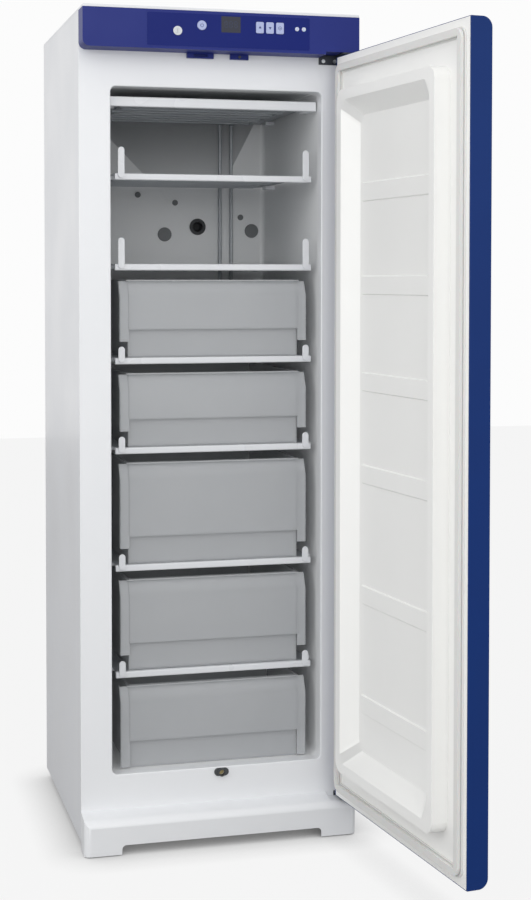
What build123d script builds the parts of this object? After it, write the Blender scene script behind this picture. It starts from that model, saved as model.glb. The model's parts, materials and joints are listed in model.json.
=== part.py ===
from build123d import *
import math
import os

# Upright laboratory freezer with a hinged solid door, evaporator shelves and pull-out drawers.
# Millimetres. The origin is on the floor, midway between the sides, in the plane where the
# door's gasket seals. X points right, Y to the back and Z up. The door stands open.

# Cabinet
CABINET_WIDTH = 600
CABINET_HEIGHT = 1785
BODY_DEPTH = 544
SHEET = 1.2
PANEL_FOLD = 12
PANEL_BOTTOM = 20
LID_THICKNESS = 6
SIDE_WALL = 67.5
TOP_BAND = 74
OPENING_BOTTOM = 159
OPENING_RADIUS = 12
FRAME_THICKNESS = 3
FRAME_EDGE_RADIUS = 2.4
FRAME_LIP_DEPTH = 26
LINER_WALL = 3
BACK_WALL = 72
STEP_RUN = 182
STEP_DROP = 42
STEP_FOAM = 40

# Base, feet and rollers
BASE_TOP = 60
BASE_BOTTOM = 22
BASE_SHEET = 2
FOOT_SIDE_INSET = 50
FOOT_FRONT_INSET = 40
FOOT_RADIUS = 19
FOOT_THICKNESS = 7
FOOT_STEM_RADIUS = 5
FOOT_STEM_TOP = 48
FOOT_BOSS_RADIUS = 10
FOOT_BOSS_HEIGHT = 14
ROLLER_SIDE_INSET = 62
ROLLER_BACK_INSET = 44
ROLLER_RADIUS = 15
ROLLER_WIDTH = 18
AXLE_RADIUS = 4
RUNNING_FIT = 0.05
BRACKET_SHEET = 3

# Plinth
PLINTH_TOP = 84
PLINTH_DEPTH = 50
PLINTH_SLOPE = 6
PLINTH_NOSE = 16
PLINTH_DRAFT = 3
PLINTH_GROUND_GAP = 2
PLINTH_WALL = 3
PLINTH_CORNER = 14
SLOT_END = 80
SLOT_HEIGHT = 20
SLOT_CORNER = 9
NOTCH_WIDTH = 56
NOTCH_FLOOR = 76

# Door
DOOR_THICKNESS = 44
DOOR_BOTTOM = 88
DOOR_GAP = 3
DOOR_OPEN_ANGLE = 96
DOOR_SKIN = 1
DOOR_EDGE_WIDTH = 4
DOOR_NOSE_RADIUS = 20
PIN_INSET = 12
PIN_RADIUS = 4
PIN_LENGTH = 19
BUSH_RADIUS = 7
BUSH_LENGTH = 15
BUSH_FLANGE_RADIUS = 10
BUSH_FLANGE = 1.7
SEAT_GAP = 0.3
DOOR_LINER_WALL = 3
RIM_CLEARANCE = 10
RIM_HEIGHT = 34
RIM_WIDTH = 22
RIM_SLOPE = 34
RIM_RADIUS = 26
PANEL_HEIGHT = 4
PANEL_RIB_DROP = 45
PANEL_RIB_HEIGHT = 3
PANEL_RIB_WIDTH = 40
PANEL_RIB_MARGIN = 14
PANEL_RIB_DRAFT = 4
GRIP_RISE = 88.5
GRIP_INSET = 52
GRIP_WIDTH = 38
GRIP_LENGTH = 150
GRIP_DEPTH = 20
GRIP_WALL = 2
GRIP_FLANGE = 5

# Gasket
GASKET_THICKNESS = 12
GASKET_INSET = 16
GASKET_WIDTH = 20
GASKET_NECK = 5
GASKET_BASE = 3.5

# Header
HEADER_HEIGHT = 81
HEADER_WALL = 3
HEADER_LOWER_RADIUS = 15
HEADER_UPPER_RADIUS = 4
FASCIA_LEFT = -165
FASCIA_RIGHT = 188
FASCIA_MARGIN = 6
FASCIA_THICKNESS = 1.2
FASCIA_RECESS = 0.8
CONTROL_DROP = 30
DISPLAY_X = 15
DISPLAY_WIDTH = 42
DISPLAY_HEIGHT = 34
DISPLAY_RISE = 4
DISPLAY_THICKNESS = 1
DISPLAY_LEDGE = 3
BUTTON_X = (78, 100, 122)
BUTTON_WIDTH = 17
BUTTON_HEIGHT = 24
BUTTON_RADIUS = 3
BUTTON_PROUD = 1.6
BUTTON_CLEARANCE = 0.3
BUTTON_FLANGE = 1.5
POWER_X = -48
POWER_RADIUS = 10
KEY_X = -100
KEY_DROP = 43
KEY_RADIUS = 7.5
KEY_RIM = 1.8
LAMP_X = (160, 175)
LAMP_RADIUS = 4.5
BOARD_GAP = 9
SWITCH_BODY = 5
SWITCH_SIZE = 7
KEY_BEZEL = 2
KEY_BEZEL_THICKNESS = 1.5
KEY_SLOT_WIDTH = 1.6
KEY_SLOT_LENGTH = 8
KEY_SLOT_DEPTH = 4
KEY_BARREL_LENGTH = 18
LAMP_PROUD = 1
BOARD_THICKNESS = 1.6
BOARD_POST_RADIUS = 3

# Hinges and the fittings under the header
HINGE_PLATE = 3
HINGE_WIDTH = 38
UPPER_FLANGE_WIDTH = 72
UPPER_FLANGE_DROP = 15
HINGE_RECESS_WIDTH = 75
HINGE_RECESS_HEIGHT = 6
LOWER_FLANGE_DROP = 52
FLANGE_SCREW_INSET = 10
HINGE_CORNER = 8
SCREW_HEAD_RADIUS = 4
SCREW_HEAD_HEIGHT = 2.4
KEEPER_X = -40
KEEPER_WIDTH = 58
KEEPER_HEIGHT = 11
KEEPER_SLOT_WIDTH = 30
KEEPER_SLOT_HEIGHT = 5
KEEPER_DEPTH = 10.5
SWITCH_X = 46
SWITCH_WIDTH = 40
SWITCH_DEPTH = 8
PLUNGER_RADIUS = 3
PLUNGER_PROUD = 3.4
PLUNGER_TRAVEL = 2.5
PLUNGER_LENGTH = 7.5

# Evaporator shelves: heights between their top faces, in proportion, from the floor up
COMPARTMENT_SHARES = (213, 231, 253, 193, 201, 193, 154)
TOP_SHELF_DROP = 27
SHELF_PLATE = 2
SHELF_FRONT = 40
SHELF_REAR_GAP = 20
CHANNEL_WIDTH = 11
CHANNEL_HEIGHT = 3.5
CHANNEL_RUNS = 8
CHANNEL_MARGIN = 26
TRIM_FRONT = 30
TRIM_HEIGHT = 14
TRIM_LIP = 6
TRIM_LIP_DROP = 3
TOP_TRIM_END_GAP = 3.5
TOP_TRIM_ABOVE = 9
TOP_TRIM_BELOW = 12
TRIM_RADIUS = 3
EAR_INSET = 27.5
EAR_WIDTH = 14
EAR_HEIGHT = 66
SHORT_EAR_HEIGHT = 34
TALL_EAR_LEVELS = 2
EAR_DEPTH = 4
EAR_BELOW = 10
SHELF_SIDE_GAP = 14.5
RAIL_HEIGHT = 8
RAIL_LENGTH = 30
RAIL_BEARING = 8
RAIL_INSET = 60
RISER_RADIUS = 4
RISER_INSETS = (114.5, 86.5)
RISER_GAP = 6

# Drawers
DRAWER_COUNT = 5
DRAWER_SIDE_GAP = 43.5
DRAWER_RIM = 4
DRAWER_WALL = 3
DRAWER_FRONT = 32
DRAWER_HEADROOM = 34
DRAWER_FLOOR_GAP = 0.4
DRAWER_BACK_GAP = 10
DRAWER_GRIP_DEPTH = 18
DRAWER_GRIP_HEIGHT = 36
DRAWER_FOOT_HEIGHT = 60
DRAWER_FOOT_RECESS = 10
DRAWER_LIP = 9
DRAWER_CORNER = 12

# Fittings in the cabinet walls. Places on the back wall count from the opening's right side
# and from the top of the shelf under the second compartment.
PORT_INSET = 168.5
PORT_RISE = 95
PORT_RADIUS = 12
PORT_WALL = 2.5
PORT_FLANGE_RADIUS = 20
PORT_FLANGE = 3
PLUG_PLACES = ((250.5, 76), (32.5, 86))
PLUG_RADIUS = 17
CAP_PLACES = ((224.5, 153), (60.5, 119), (316.5, 171))
CAP_RADIUS = 7
PLUG_HEIGHT = 4
DRAIN_X = 7
DRAIN_DROP = 11
DRAIN_RADIUS = 6
DRAIN_WALL = 2.5
DRAIN_LENGTH = 9
DRAIN_WIDTH = 32

# Refrigeration unit
COMPRESSOR_SIDE_INSET = 210
COMPRESSOR_BACK_INSET = 108
COMPRESSOR_RADIUS = 74
COMPRESSOR_HEIGHT = 165
COMPRESSOR_PLATE = 3
MOUNT_SPACING_X = 170
MOUNT_SPACING_Y = 106
MOUNT_RADIUS = 12
MOUNT_HEIGHT = 14
RELAY_WIDTH = 34
RELAY_DEPTH = 58
RELAY_HEIGHT = 62
CONDENSER_SIDE_INSET = 70
CONDENSER_RISE = 53
CONDENSER_DROP = 509
CONDENSER_STANDOFF = 12
CONDENSER_SHEET = 1
CONDENSER_TUBE = 6
CONDENSER_RUNS = 15
CONDENSER_MARGIN = 30
CLIP_SIZE = 20
CLIP_INSET = 30
PIPE_RADIUS = 3
SUCTION_REACH = 36
SUCTION_RISE = 20
DRIER_SIDE_INSET = 180
DRIER_BACK_INSET = 24
DRIER_CLEARANCE = 13
DRIER_RADIUS = 10
DRIER_LENGTH = 110
DRIER_NECK = 14
DRIP_TRAY_WIDTH = 130
DRIP_TRAY_DEPTH = 110
DRIP_TRAY_HEIGHT = 24
DRIP_TRAY_WALL = 2
GLAND_INSET = 120
GLAND_LEVEL = 42
GLAND_RADIUS = 9
GLAND_BORE = 4
GLAND_LENGTH = 16

# Places worked out from the sizes above
half_width = CABINET_WIDTH / 2
half_opening = half_width - SIDE_WALL
half_cavity = half_opening + LINER_WALL
half_foam = half_width - SHEET
lid_bottom = CABINET_HEIGHT - LID_THICKNESS
header_bottom = lid_bottom - HEADER_HEIGHT
header_depth = DOOR_THICKNESS + GASKET_THICKNESS
header_front = -header_depth
opening_top = header_bottom - TOP_BAND
opening_height = opening_top - OPENING_BOTTOM
opening_middle = (opening_top + OPENING_BOTTOM) / 2
liner_depth = BODY_DEPTH - BACK_WALL
step_depth = liner_depth - STEP_RUN
bay_front = step_depth + LINER_WALL + STEP_FOAM
foam_front = FRAME_THICKNESS + SHEET
foam_back = BODY_DEPTH - 2 * SHEET
door_top = header_bottom - DOOR_GAP
door_height = door_top - DOOR_BOTTOM
hinge_x = half_width - PIN_INSET
hinge_y = header_front + PIN_INSET
door_left = -half_width - hinge_x
door_right = PIN_INSET
door_front = -PIN_INSET
door_inner = door_front + DOOR_THICKNESS
grip_level = DOOR_BOTTOM + door_height / 2 + GRIP_RISE
half_shelf = half_opening - SHELF_SIDE_GAP
half_drawer = half_opening - DRAWER_SIDE_GAP
shelf_back = liner_depth - SHELF_REAR_GAP
rail_places = (SHELF_FRONT + RAIL_INSET, shelf_back - RAIL_INSET)
ear_x = half_opening - EAR_INSET
foot_x = half_width - FOOT_SIDE_INSET
roller_y = BODY_DEPTH - ROLLER_BACK_INSET
axle_x = half_width - ROLLER_SIDE_INSET
control_z = lid_bottom - CONTROL_DROP
key_z = lid_bottom - KEY_DROP
fascia_front = header_front + FASCIA_RECESS - FASCIA_THICKNESS


def shelf_levels(top):
    """Top faces of the shelves from the lowest to the top one."""
    levels = []
    height = (top - OPENING_BOTTOM) / sum(COMPARTMENT_SHARES)
    for number in range(len(COMPARTMENT_SHARES)):
        levels.append(OPENING_BOTTOM + height * sum(COMPARTMENT_SHARES[:number + 1]))
    return levels


top_level = opening_top - TOP_SHELF_DROP
all_levels = shelf_levels(top_level)
standing_levels = all_levels[:-1]
step_top = standing_levels[0] - STEP_DROP
bay_top = step_top - LINER_WALL - STEP_FOAM
port_shelf = standing_levels[-2]
port_x = half_opening - PORT_INSET
port_level = port_shelf + PORT_RISE
compressor_x = -half_width + COMPRESSOR_SIDE_INSET
compressor_y = BODY_DEPTH - COMPRESSOR_BACK_INSET
condenser_half = half_width - CONDENSER_SIDE_INSET
condenser_bottom = bay_top + CONDENSER_RISE
condenser_top = lid_bottom - CONDENSER_DROP
drier_x = half_width - DRIER_SIDE_INSET
drier_y = BODY_DEPTH - DRIER_BACK_INSET
drier_bottom = bay_top - DRIER_CLEARANCE - DRIER_NECK - DRIER_LENGTH
suction_x = compressor_x + COMPRESSOR_RADIUS + SUCTION_REACH
gland_x = half_width - GLAND_INSET


def front_plane(y):
    """Plane facing the front at depth y: its x is X and its y is Z."""
    return Plane.XZ.offset(-y)


def door_direction(u, v):
    """Direction of the open door's own axes u, along its width, and v, through its thickness."""
    angle = math.radians(DOOR_OPEN_ANGLE)
    return (
        u * math.cos(angle) - v * math.sin(angle),
        u * math.sin(angle) + v * math.cos(angle),
        0,
    )


def door_point(u, v, z):
    """Point of the open door, counted from the hinge pins' axis."""
    direction = door_direction(u, v)
    return (hinge_x + direction[0], hinge_y + direction[1], z)


def door_section(u):
    """Upright plane across the door: its x runs through the thickness."""
    return Plane(origin=door_point(u, 0, 0), x_dir=door_direction(0, 1), z_dir=door_direction(1, 0))


def door_face(v):
    """Upright plane along the door that faces out of its front."""
    return Plane(origin=door_point(0, v, 0), x_dir=door_direction(1, 0), z_dir=door_direction(0, -1))


def block(plane, x_range, y_range, depth, mode=Mode.ADD):
    """Rectangle on a plane between two pairs of limits, extruded."""
    with BuildSketch(plane) as outline:
        with Locations(((x_range[0] + x_range[1]) / 2, (y_range[0] + y_range[1]) / 2)):
            Rectangle(x_range[1] - x_range[0], y_range[1] - y_range[0])
    extrude(outline.sketch, amount=depth, mode=mode)


def rounded_block(plane, x_range, y_range, radius, depth, mode=Mode.ADD):
    """Rounded rectangle on a plane between two pairs of limits, extruded."""
    with BuildSketch(plane) as outline:
        with Locations(((x_range[0] + x_range[1]) / 2, (y_range[0] + y_range[1]) / 2)):
            RectangleRounded(x_range[1] - x_range[0], y_range[1] - y_range[0], radius)
    extrude(outline.sketch, amount=depth, mode=mode)


def rod(plane, place, radius, length, mode=Mode.ADD):
    """Circle on a plane, extruded."""
    with BuildSketch(plane) as outline:
        with Locations(place):
            Circle(radius)
    extrude(outline.sketch, amount=length, mode=mode)


def profile_bar(plane, points, length, mode=Mode.ADD):
    """Closed outline on a plane, extruded."""
    with BuildSketch(plane) as outline:
        with BuildLine():
            Polyline(*points, close=True)
        make_face()
    extrude(outline.sketch, amount=length, mode=mode)


def save(shape, name):
    """Label a finished piece and write it."""
    shape.part.label = name
    export_step(shape.part, f"parts/{name}.step")


os.makedirs("parts", exist_ok=True)

# Side panels: painted sheets with their front and rear edges folded in
for name, side in (("side_panel_left", -1), ("side_panel_right", 1)):
    with BuildPart() as side_panel:
        outer = side * half_width
        inner = side * half_foam
        fold = side * (half_foam - PANEL_FOLD)
        front = FRAME_THICKNESS
        outline = (
            (outer, front),
            (outer, BODY_DEPTH),
            (fold, BODY_DEPTH),
            (fold, BODY_DEPTH - SHEET),
            (inner, BODY_DEPTH - SHEET),
            (inner, front + SHEET),
            (fold, front + SHEET),
            (fold, front),
        )
        profile_bar(Plane.XY.offset(PANEL_BOTTOM), outline, lid_bottom - PANEL_BOTTOM)
    save(side_panel, name)

# Back panel over the foam, with the hole for the access port
with BuildPart() as back_panel:
    block(front_plane(BODY_DEPTH - SHEET), (-half_foam, half_foam), (bay_top, lid_bottom), SHEET)
    rod(
        front_plane(BODY_DEPTH),
        (port_x, port_level),
        PORT_RADIUS + PORT_WALL,
        3 * SHEET,
        Mode.SUBTRACT,
    )
save(back_panel, "back_panel")

# Lid over the cabinet and the header, with a rounded edge
with BuildPart() as top_cover:
    rounded_block(
        Plane.XY.offset(lid_bottom),
        (-half_width, half_width),
        (header_front, BODY_DEPTH),
        HEADER_UPPER_RADIUS,
        LID_THICKNESS,
    )
    top_edges = top_cover.edges().group_by(Axis.Z)[-1]
    fillet(top_edges, LID_THICKNESS / 3)
save(top_cover, "top_cover")

# Space inside the liner, with the step over the refrigeration unit
with BuildPart() as cold_space:
    outline = (
        (-FRAME_THICKNESS, OPENING_BOTTOM),
        (step_depth, OPENING_BOTTOM),
        (step_depth, step_top),
        (liner_depth, step_top),
        (liner_depth, opening_top),
        (-FRAME_THICKNESS, opening_top),
    )
    profile_bar(Plane.YZ.offset(-half_opening), outline, 2 * half_opening)
    long_edges = cold_space.edges().filter_by(Axis.Y)
    upright_edges = cold_space.edges().filter_by(Axis.Z).group_by(Axis.Y)[1:]
    fillet(long_edges + [edge for group in upright_edges for edge in group], OPENING_RADIUS)

# Moulded liner, open at the front
with BuildPart() as inner_liner:
    outline = (
        (FRAME_LIP_DEPTH, OPENING_BOTTOM - LINER_WALL),
        (step_depth + LINER_WALL, OPENING_BOTTOM - LINER_WALL),
        (step_depth + LINER_WALL, step_top - LINER_WALL),
        (liner_depth + LINER_WALL, step_top - LINER_WALL),
        (liner_depth + LINER_WALL, opening_top + LINER_WALL),
        (FRAME_LIP_DEPTH, opening_top + LINER_WALL),
    )
    profile_bar(Plane.YZ.offset(-half_cavity), outline, 2 * half_cavity)
    add(cold_space.part, mode=Mode.SUBTRACT)
    rod(
        front_plane(liner_depth + 2 * LINER_WALL),
        (port_x, port_level),
        PORT_RADIUS + PORT_WALL,
        3 * LINER_WALL,
        Mode.SUBTRACT,
    )
save(inner_liner, "inner_liner")

# Foam behind the liner: the side walls, the floor with its step, the ceiling and the back
side_outline = (
    (foam_front, BASE_TOP),
    (bay_front, BASE_TOP),
    (bay_front, bay_top),
    (foam_back, bay_top),
    (foam_back, lid_bottom),
    (foam_front, lid_bottom),
)
floor_outline = (
    (foam_front, BASE_TOP),
    (bay_front, BASE_TOP),
    (bay_front, bay_top),
    (foam_back, bay_top),
    (foam_back, step_top - LINER_WALL),
    (step_depth + LINER_WALL, step_top - LINER_WALL),
    (step_depth + LINER_WALL, OPENING_BOTTOM - LINER_WALL),
    (foam_front, OPENING_BOTTOM - LINER_WALL),
)
with BuildPart() as insulation:
    profile_bar(Plane.YZ.offset(-half_foam), side_outline, half_foam - half_cavity)
    profile_bar(Plane.YZ.offset(half_cavity), side_outline, half_foam - half_cavity)
with BuildPart() as floor_foam:
    profile_bar(Plane.YZ.offset(-half_cavity), floor_outline, 2 * half_cavity)
with BuildPart() as ceiling_foam:
    block(
        Plane.XY.offset(opening_top + LINER_WALL),
        (-half_cavity, half_cavity),
        (foam_front, foam_back),
        lid_bottom - opening_top - LINER_WALL,
    )
with BuildPart() as back_foam:
    block(
        front_plane(foam_back),
        (-half_cavity, half_cavity),
        (step_top - LINER_WALL, opening_top + LINER_WALL),
        foam_back - liner_depth - LINER_WALL,
    )
    rod(
        front_plane(BODY_DEPTH),
        (port_x, port_level),
        PORT_RADIUS + PORT_WALL,
        BODY_DEPTH - liner_depth,
        Mode.SUBTRACT,
    )
foam_blocks = insulation.part.solids() + floor_foam.part.solids()
foam_blocks = foam_blocks + ceiling_foam.part.solids() + back_foam.part.solids()
foam = Compound(label="insulation", children=foam_blocks)
export_step(foam, "parts/insulation.step")

# Front frame: a plate round the mouth with a lip that meets the liner
with BuildPart() as front_frame:
    block(
        front_plane(FRAME_THICKNESS),
        (-half_width, half_width),
        (BASE_TOP, lid_bottom),
        FRAME_THICKNESS,
    )
    with BuildSketch(front_plane(FRAME_LIP_DEPTH)):
        with Locations((0, opening_middle)):
            Rectangle(2 * half_cavity, opening_height + 2 * LINER_WALL)
    extrude(amount=FRAME_LIP_DEPTH)
    add(cold_space.part, mode=Mode.SUBTRACT)
    mouth_edges = front_frame.faces().sort_by(Axis.Y)[0].inner_wires()[0].edges()
    fillet(mouth_edges, FRAME_EDGE_RADIUS)
    rod(
        front_plane(2 * FRAME_THICKNESS),
        (DRAIN_X, OPENING_BOTTOM - DRAIN_DROP),
        DRAIN_RADIUS,
        3 * FRAME_THICKNESS,
        Mode.SUBTRACT,
    )
save(front_frame, "front_frame")

# Drain spout under the mouth, for the water of a defrost
with BuildPart() as drain_spout:
    spout_z = OPENING_BOTTOM - DRAIN_DROP
    with BuildSketch(front_plane(0)):
        with Locations((DRAIN_X, spout_z)):
            SlotOverall(DRAIN_WIDTH, 2 * (DRAIN_RADIUS + DRAIN_WALL))
    extrude(amount=FRAME_THICKNESS)
    rod(front_plane(0), (DRAIN_X, spout_z), DRAIN_RADIUS + DRAIN_WALL, DRAIN_LENGTH)
    rod(
        front_plane(FRAME_THICKNESS),
        (DRAIN_X, spout_z),
        DRAIN_RADIUS,
        2 * DRAIN_LENGTH,
        Mode.SUBTRACT,
    )
save(drain_spout, "drain_spout")

# Base tray with bosses for the feet, windows for the rollers and their ears
tray_half = half_foam - SEAT_GAP
tray_front = FRAME_THICKNESS + SHEET + SEAT_GAP
tray_back = BODY_DEPTH - SHEET - SEAT_GAP
window_half = ROLLER_WIDTH / 2 + BRACKET_SHEET + 2
window_run = ROLLER_RADIUS + 3
ear_offset = ROLLER_WIDTH / 2 + SEAT_GAP
with BuildPart() as base_frame:
    block(
        Plane.XY.offset(BASE_BOTTOM),
        (-tray_half, tray_half),
        (tray_front, tray_back),
        BASE_TOP - BASE_BOTTOM,
    )
    block(
        Plane.XY.offset(BASE_BOTTOM + BASE_SHEET),
        (-tray_half + BASE_SHEET, tray_half - BASE_SHEET),
        (tray_front + BASE_SHEET, tray_back - BASE_SHEET),
        BASE_TOP,
        Mode.SUBTRACT,
    )
    for side in (-1, 1):
        rod(
            Plane.XY.offset(BASE_BOTTOM),
            (side * foot_x, FOOT_FRONT_INSET),
            FOOT_BOSS_RADIUS,
            FOOT_BOSS_HEIGHT,
        )
        rod(
            Plane.XY.offset(BASE_BOTTOM - BASE_SHEET),
            (side * foot_x, FOOT_FRONT_INSET),
            FOOT_STEM_RADIUS + RUNNING_FIT,
            BASE_TOP,
            Mode.SUBTRACT,
        )
        roller_x = side * axle_x
        block(
            Plane.XY.offset(BASE_BOTTOM - BASE_SHEET),
            (roller_x - ear_offset, roller_x + ear_offset),
            (roller_y - window_run, roller_y + window_run),
            3 * BASE_SHEET,
            Mode.SUBTRACT,
        )
        for edge in (-1, 1):
            ear_face = roller_x + edge * ear_offset
            ear_start = min(ear_face, ear_face + edge * BRACKET_SHEET)
            with BuildSketch(Plane.YZ.offset(ear_start)):
                with Locations((roller_y, (ROLLER_RADIUS + BASE_BOTTOM) / 2)):
                    Rectangle(4 * AXLE_RADIUS, BASE_BOTTOM - ROLLER_RADIUS + BASE_SHEET)
                with Locations((roller_y, ROLLER_RADIUS)):
                    Circle(2 * AXLE_RADIUS)
                    Circle(AXLE_RADIUS, mode=Mode.SUBTRACT)
            extrude(amount=BRACKET_SHEET)
    rod(
        front_plane(BODY_DEPTH),
        (gland_x, GLAND_LEVEL),
        GLAND_RADIUS,
        5 * BASE_SHEET,
        Mode.SUBTRACT,
    )
save(base_frame, "base_frame")

# Levelling feet: a pad and a stem that turns in its boss
for name, side in (("foot_left", -1), ("foot_right", 1)):
    with BuildPart() as foot:
        rod(Plane.XY, (side * foot_x, FOOT_FRONT_INSET), FOOT_RADIUS, FOOT_THICKNESS)
        pad_rim = foot.edges().group_by(Axis.Z)[-1]
        chamfer(pad_rim, FOOT_THICKNESS / 3)
        rod(Plane.XY, (side * foot_x, FOOT_FRONT_INSET), FOOT_STEM_RADIUS, FOOT_STEM_TOP)
    save(foot, name)

# Rear rollers on fixed axles
for name, side in (("roller_left", -1), ("roller_right", 1)):
    with BuildPart() as roller:
        with BuildSketch(Plane.YZ.offset(side * axle_x - ROLLER_WIDTH / 2)):
            with Locations((roller_y, ROLLER_RADIUS)):
                Circle(ROLLER_RADIUS)
                Circle(AXLE_RADIUS + RUNNING_FIT, mode=Mode.SUBTRACT)
        extrude(amount=ROLLER_WIDTH)
    save(roller, name)

axle_half = ear_offset + BRACKET_SHEET + 2
with BuildPart() as roller_axles:
    for side in (-1, 1):
        rod(
            Plane.YZ.offset(side * axle_x - axle_half),
            (roller_y, ROLLER_RADIUS),
            AXLE_RADIUS,
            2 * axle_half,
        )
save(roller_axles, "roller_axles")

# Plinth: a hollow moulding with a sloped top, a rounded nose and an air slot along the floor
plinth_front = -PLINTH_DEPTH


def plinth_form(inset):
    """Solid form of the plinth, drawn in from its outside by one wall."""
    top = PLINTH_TOP - inset
    front = plinth_front + inset
    shoulder = front + PLINTH_NOSE
    bottom = PLINTH_GROUND_GAP - 2 * inset
    with BuildPart() as form:
        with BuildSketch(Plane.YZ.offset(-half_width + inset)):
            with BuildLine():
                Line((0, top), (shoulder, top - PLINTH_SLOPE))
                arc = TangentArc(
                    (shoulder, top - PLINTH_SLOPE),
                    (front, top - PLINTH_SLOPE - PLINTH_NOSE),
                    tangent=(shoulder, -PLINTH_SLOPE),
                )
                Line(arc @ 1, (front + PLINTH_DRAFT, bottom))
                Line((front + PLINTH_DRAFT, bottom), (0, bottom))
                Line((0, bottom), (0, top))
            make_face()
        extrude(amount=CABINET_WIDTH - 2 * inset)
        steep = form.faces().filter_by(GeomType.PLANE).sort_by(Axis.Y)[0]
        ends = steep.edges().filter_by(lambda edge: abs((edge @ 0).X - (edge @ 1).X) < 1)
        fillet(ends, PLINTH_CORNER - inset)
    return form.part


notch_left = half_width - NOTCH_WIDTH
lower_flange_left = half_width - HINGE_WIDTH
lower_flange_right = half_width - PLINTH_WALL - 2 * SEAT_GAP
plinth_outside = plinth_form(0)
plinth_hollow = plinth_form(PLINTH_WALL)
with BuildPart() as plinth:
    add(plinth_outside)
    add(plinth_hollow, mode=Mode.SUBTRACT)
    block(
        Plane.XY.offset(NOTCH_FLOOR - PLINTH_WALL),
        (notch_left - PLINTH_WALL, half_width),
        (plinth_front, 0),
        PLINTH_TOP,
        Mode.SUBTRACT,
    )
with BuildPart() as notch_shelf:
    add(plinth_outside)
    block(
        Plane.XY.offset(-PLINTH_TOP),
        (-CABINET_WIDTH, CABINET_WIDTH),
        (-CABINET_WIDTH, CABINET_WIDTH),
        PLINTH_TOP + NOTCH_FLOOR - PLINTH_WALL,
        Mode.SUBTRACT,
    )
    block(
        Plane.XY.offset(-PLINTH_TOP),
        (-CABINET_WIDTH, notch_left - PLINTH_WALL),
        (-CABINET_WIDTH, CABINET_WIDTH),
        3 * PLINTH_TOP,
        Mode.SUBTRACT,
    )
    block(
        Plane.XY.offset(NOTCH_FLOOR),
        (notch_left, CABINET_WIDTH),
        (-CABINET_WIDTH, CABINET_WIDTH),
        PLINTH_TOP,
        Mode.SUBTRACT,
    )
with BuildPart() as finished_plinth:
    add(plinth.part)
    add(notch_shelf.part)
    rounded_block(
        front_plane(plinth_front / 2),
        (-half_width + SLOT_END, half_width - SLOT_END),
        (-SLOT_HEIGHT, PLINTH_GROUND_GAP + SLOT_HEIGHT),
        SLOT_CORNER,
        PLINTH_DEPTH,
        Mode.SUBTRACT,
    )
    block(
        Plane.XY.offset(NOTCH_FLOOR - 2 * PLINTH_WALL),
        (lower_flange_left - SEAT_GAP, lower_flange_right + SEAT_GAP),
        (-HINGE_PLATE - SEAT_GAP, 0),
        3 * PLINTH_WALL,
        Mode.SUBTRACT,
    )
save(finished_plinth, "plinth")

# Header housing: a shell with a rounded lower corner, posts for the board and a hinge recess
recess_left = half_width - HINGE_RECESS_WIDTH
header_inside = header_front + HEADER_WALL
board_front = header_inside + BOARD_GAP
cavity_floor = header_bottom + HEADER_WALL
board_left = KEY_X + KEY_RADIUS + KEY_BEZEL
board_right = FASCIA_RIGHT - FASCIA_MARGIN
board_bottom = cavity_floor + 2 * SEAT_GAP + HEADER_WALL
board_top = lid_bottom - FASCIA_MARGIN
post_places = [
    (x, z)
    for x in (board_left + 2 * BOARD_POST_RADIUS, board_right - 2 * BOARD_POST_RADIUS)
    for z in (board_bottom + 2 * BOARD_POST_RADIUS, board_top - 2 * BOARD_POST_RADIUS)
]
display_x_range = (DISPLAY_X - DISPLAY_WIDTH / 2, DISPLAY_X + DISPLAY_WIDTH / 2)
display_z = control_z + DISPLAY_RISE
display_z_range = (display_z - DISPLAY_HEIGHT / 2, display_z + DISPLAY_HEIGHT / 2)
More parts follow.
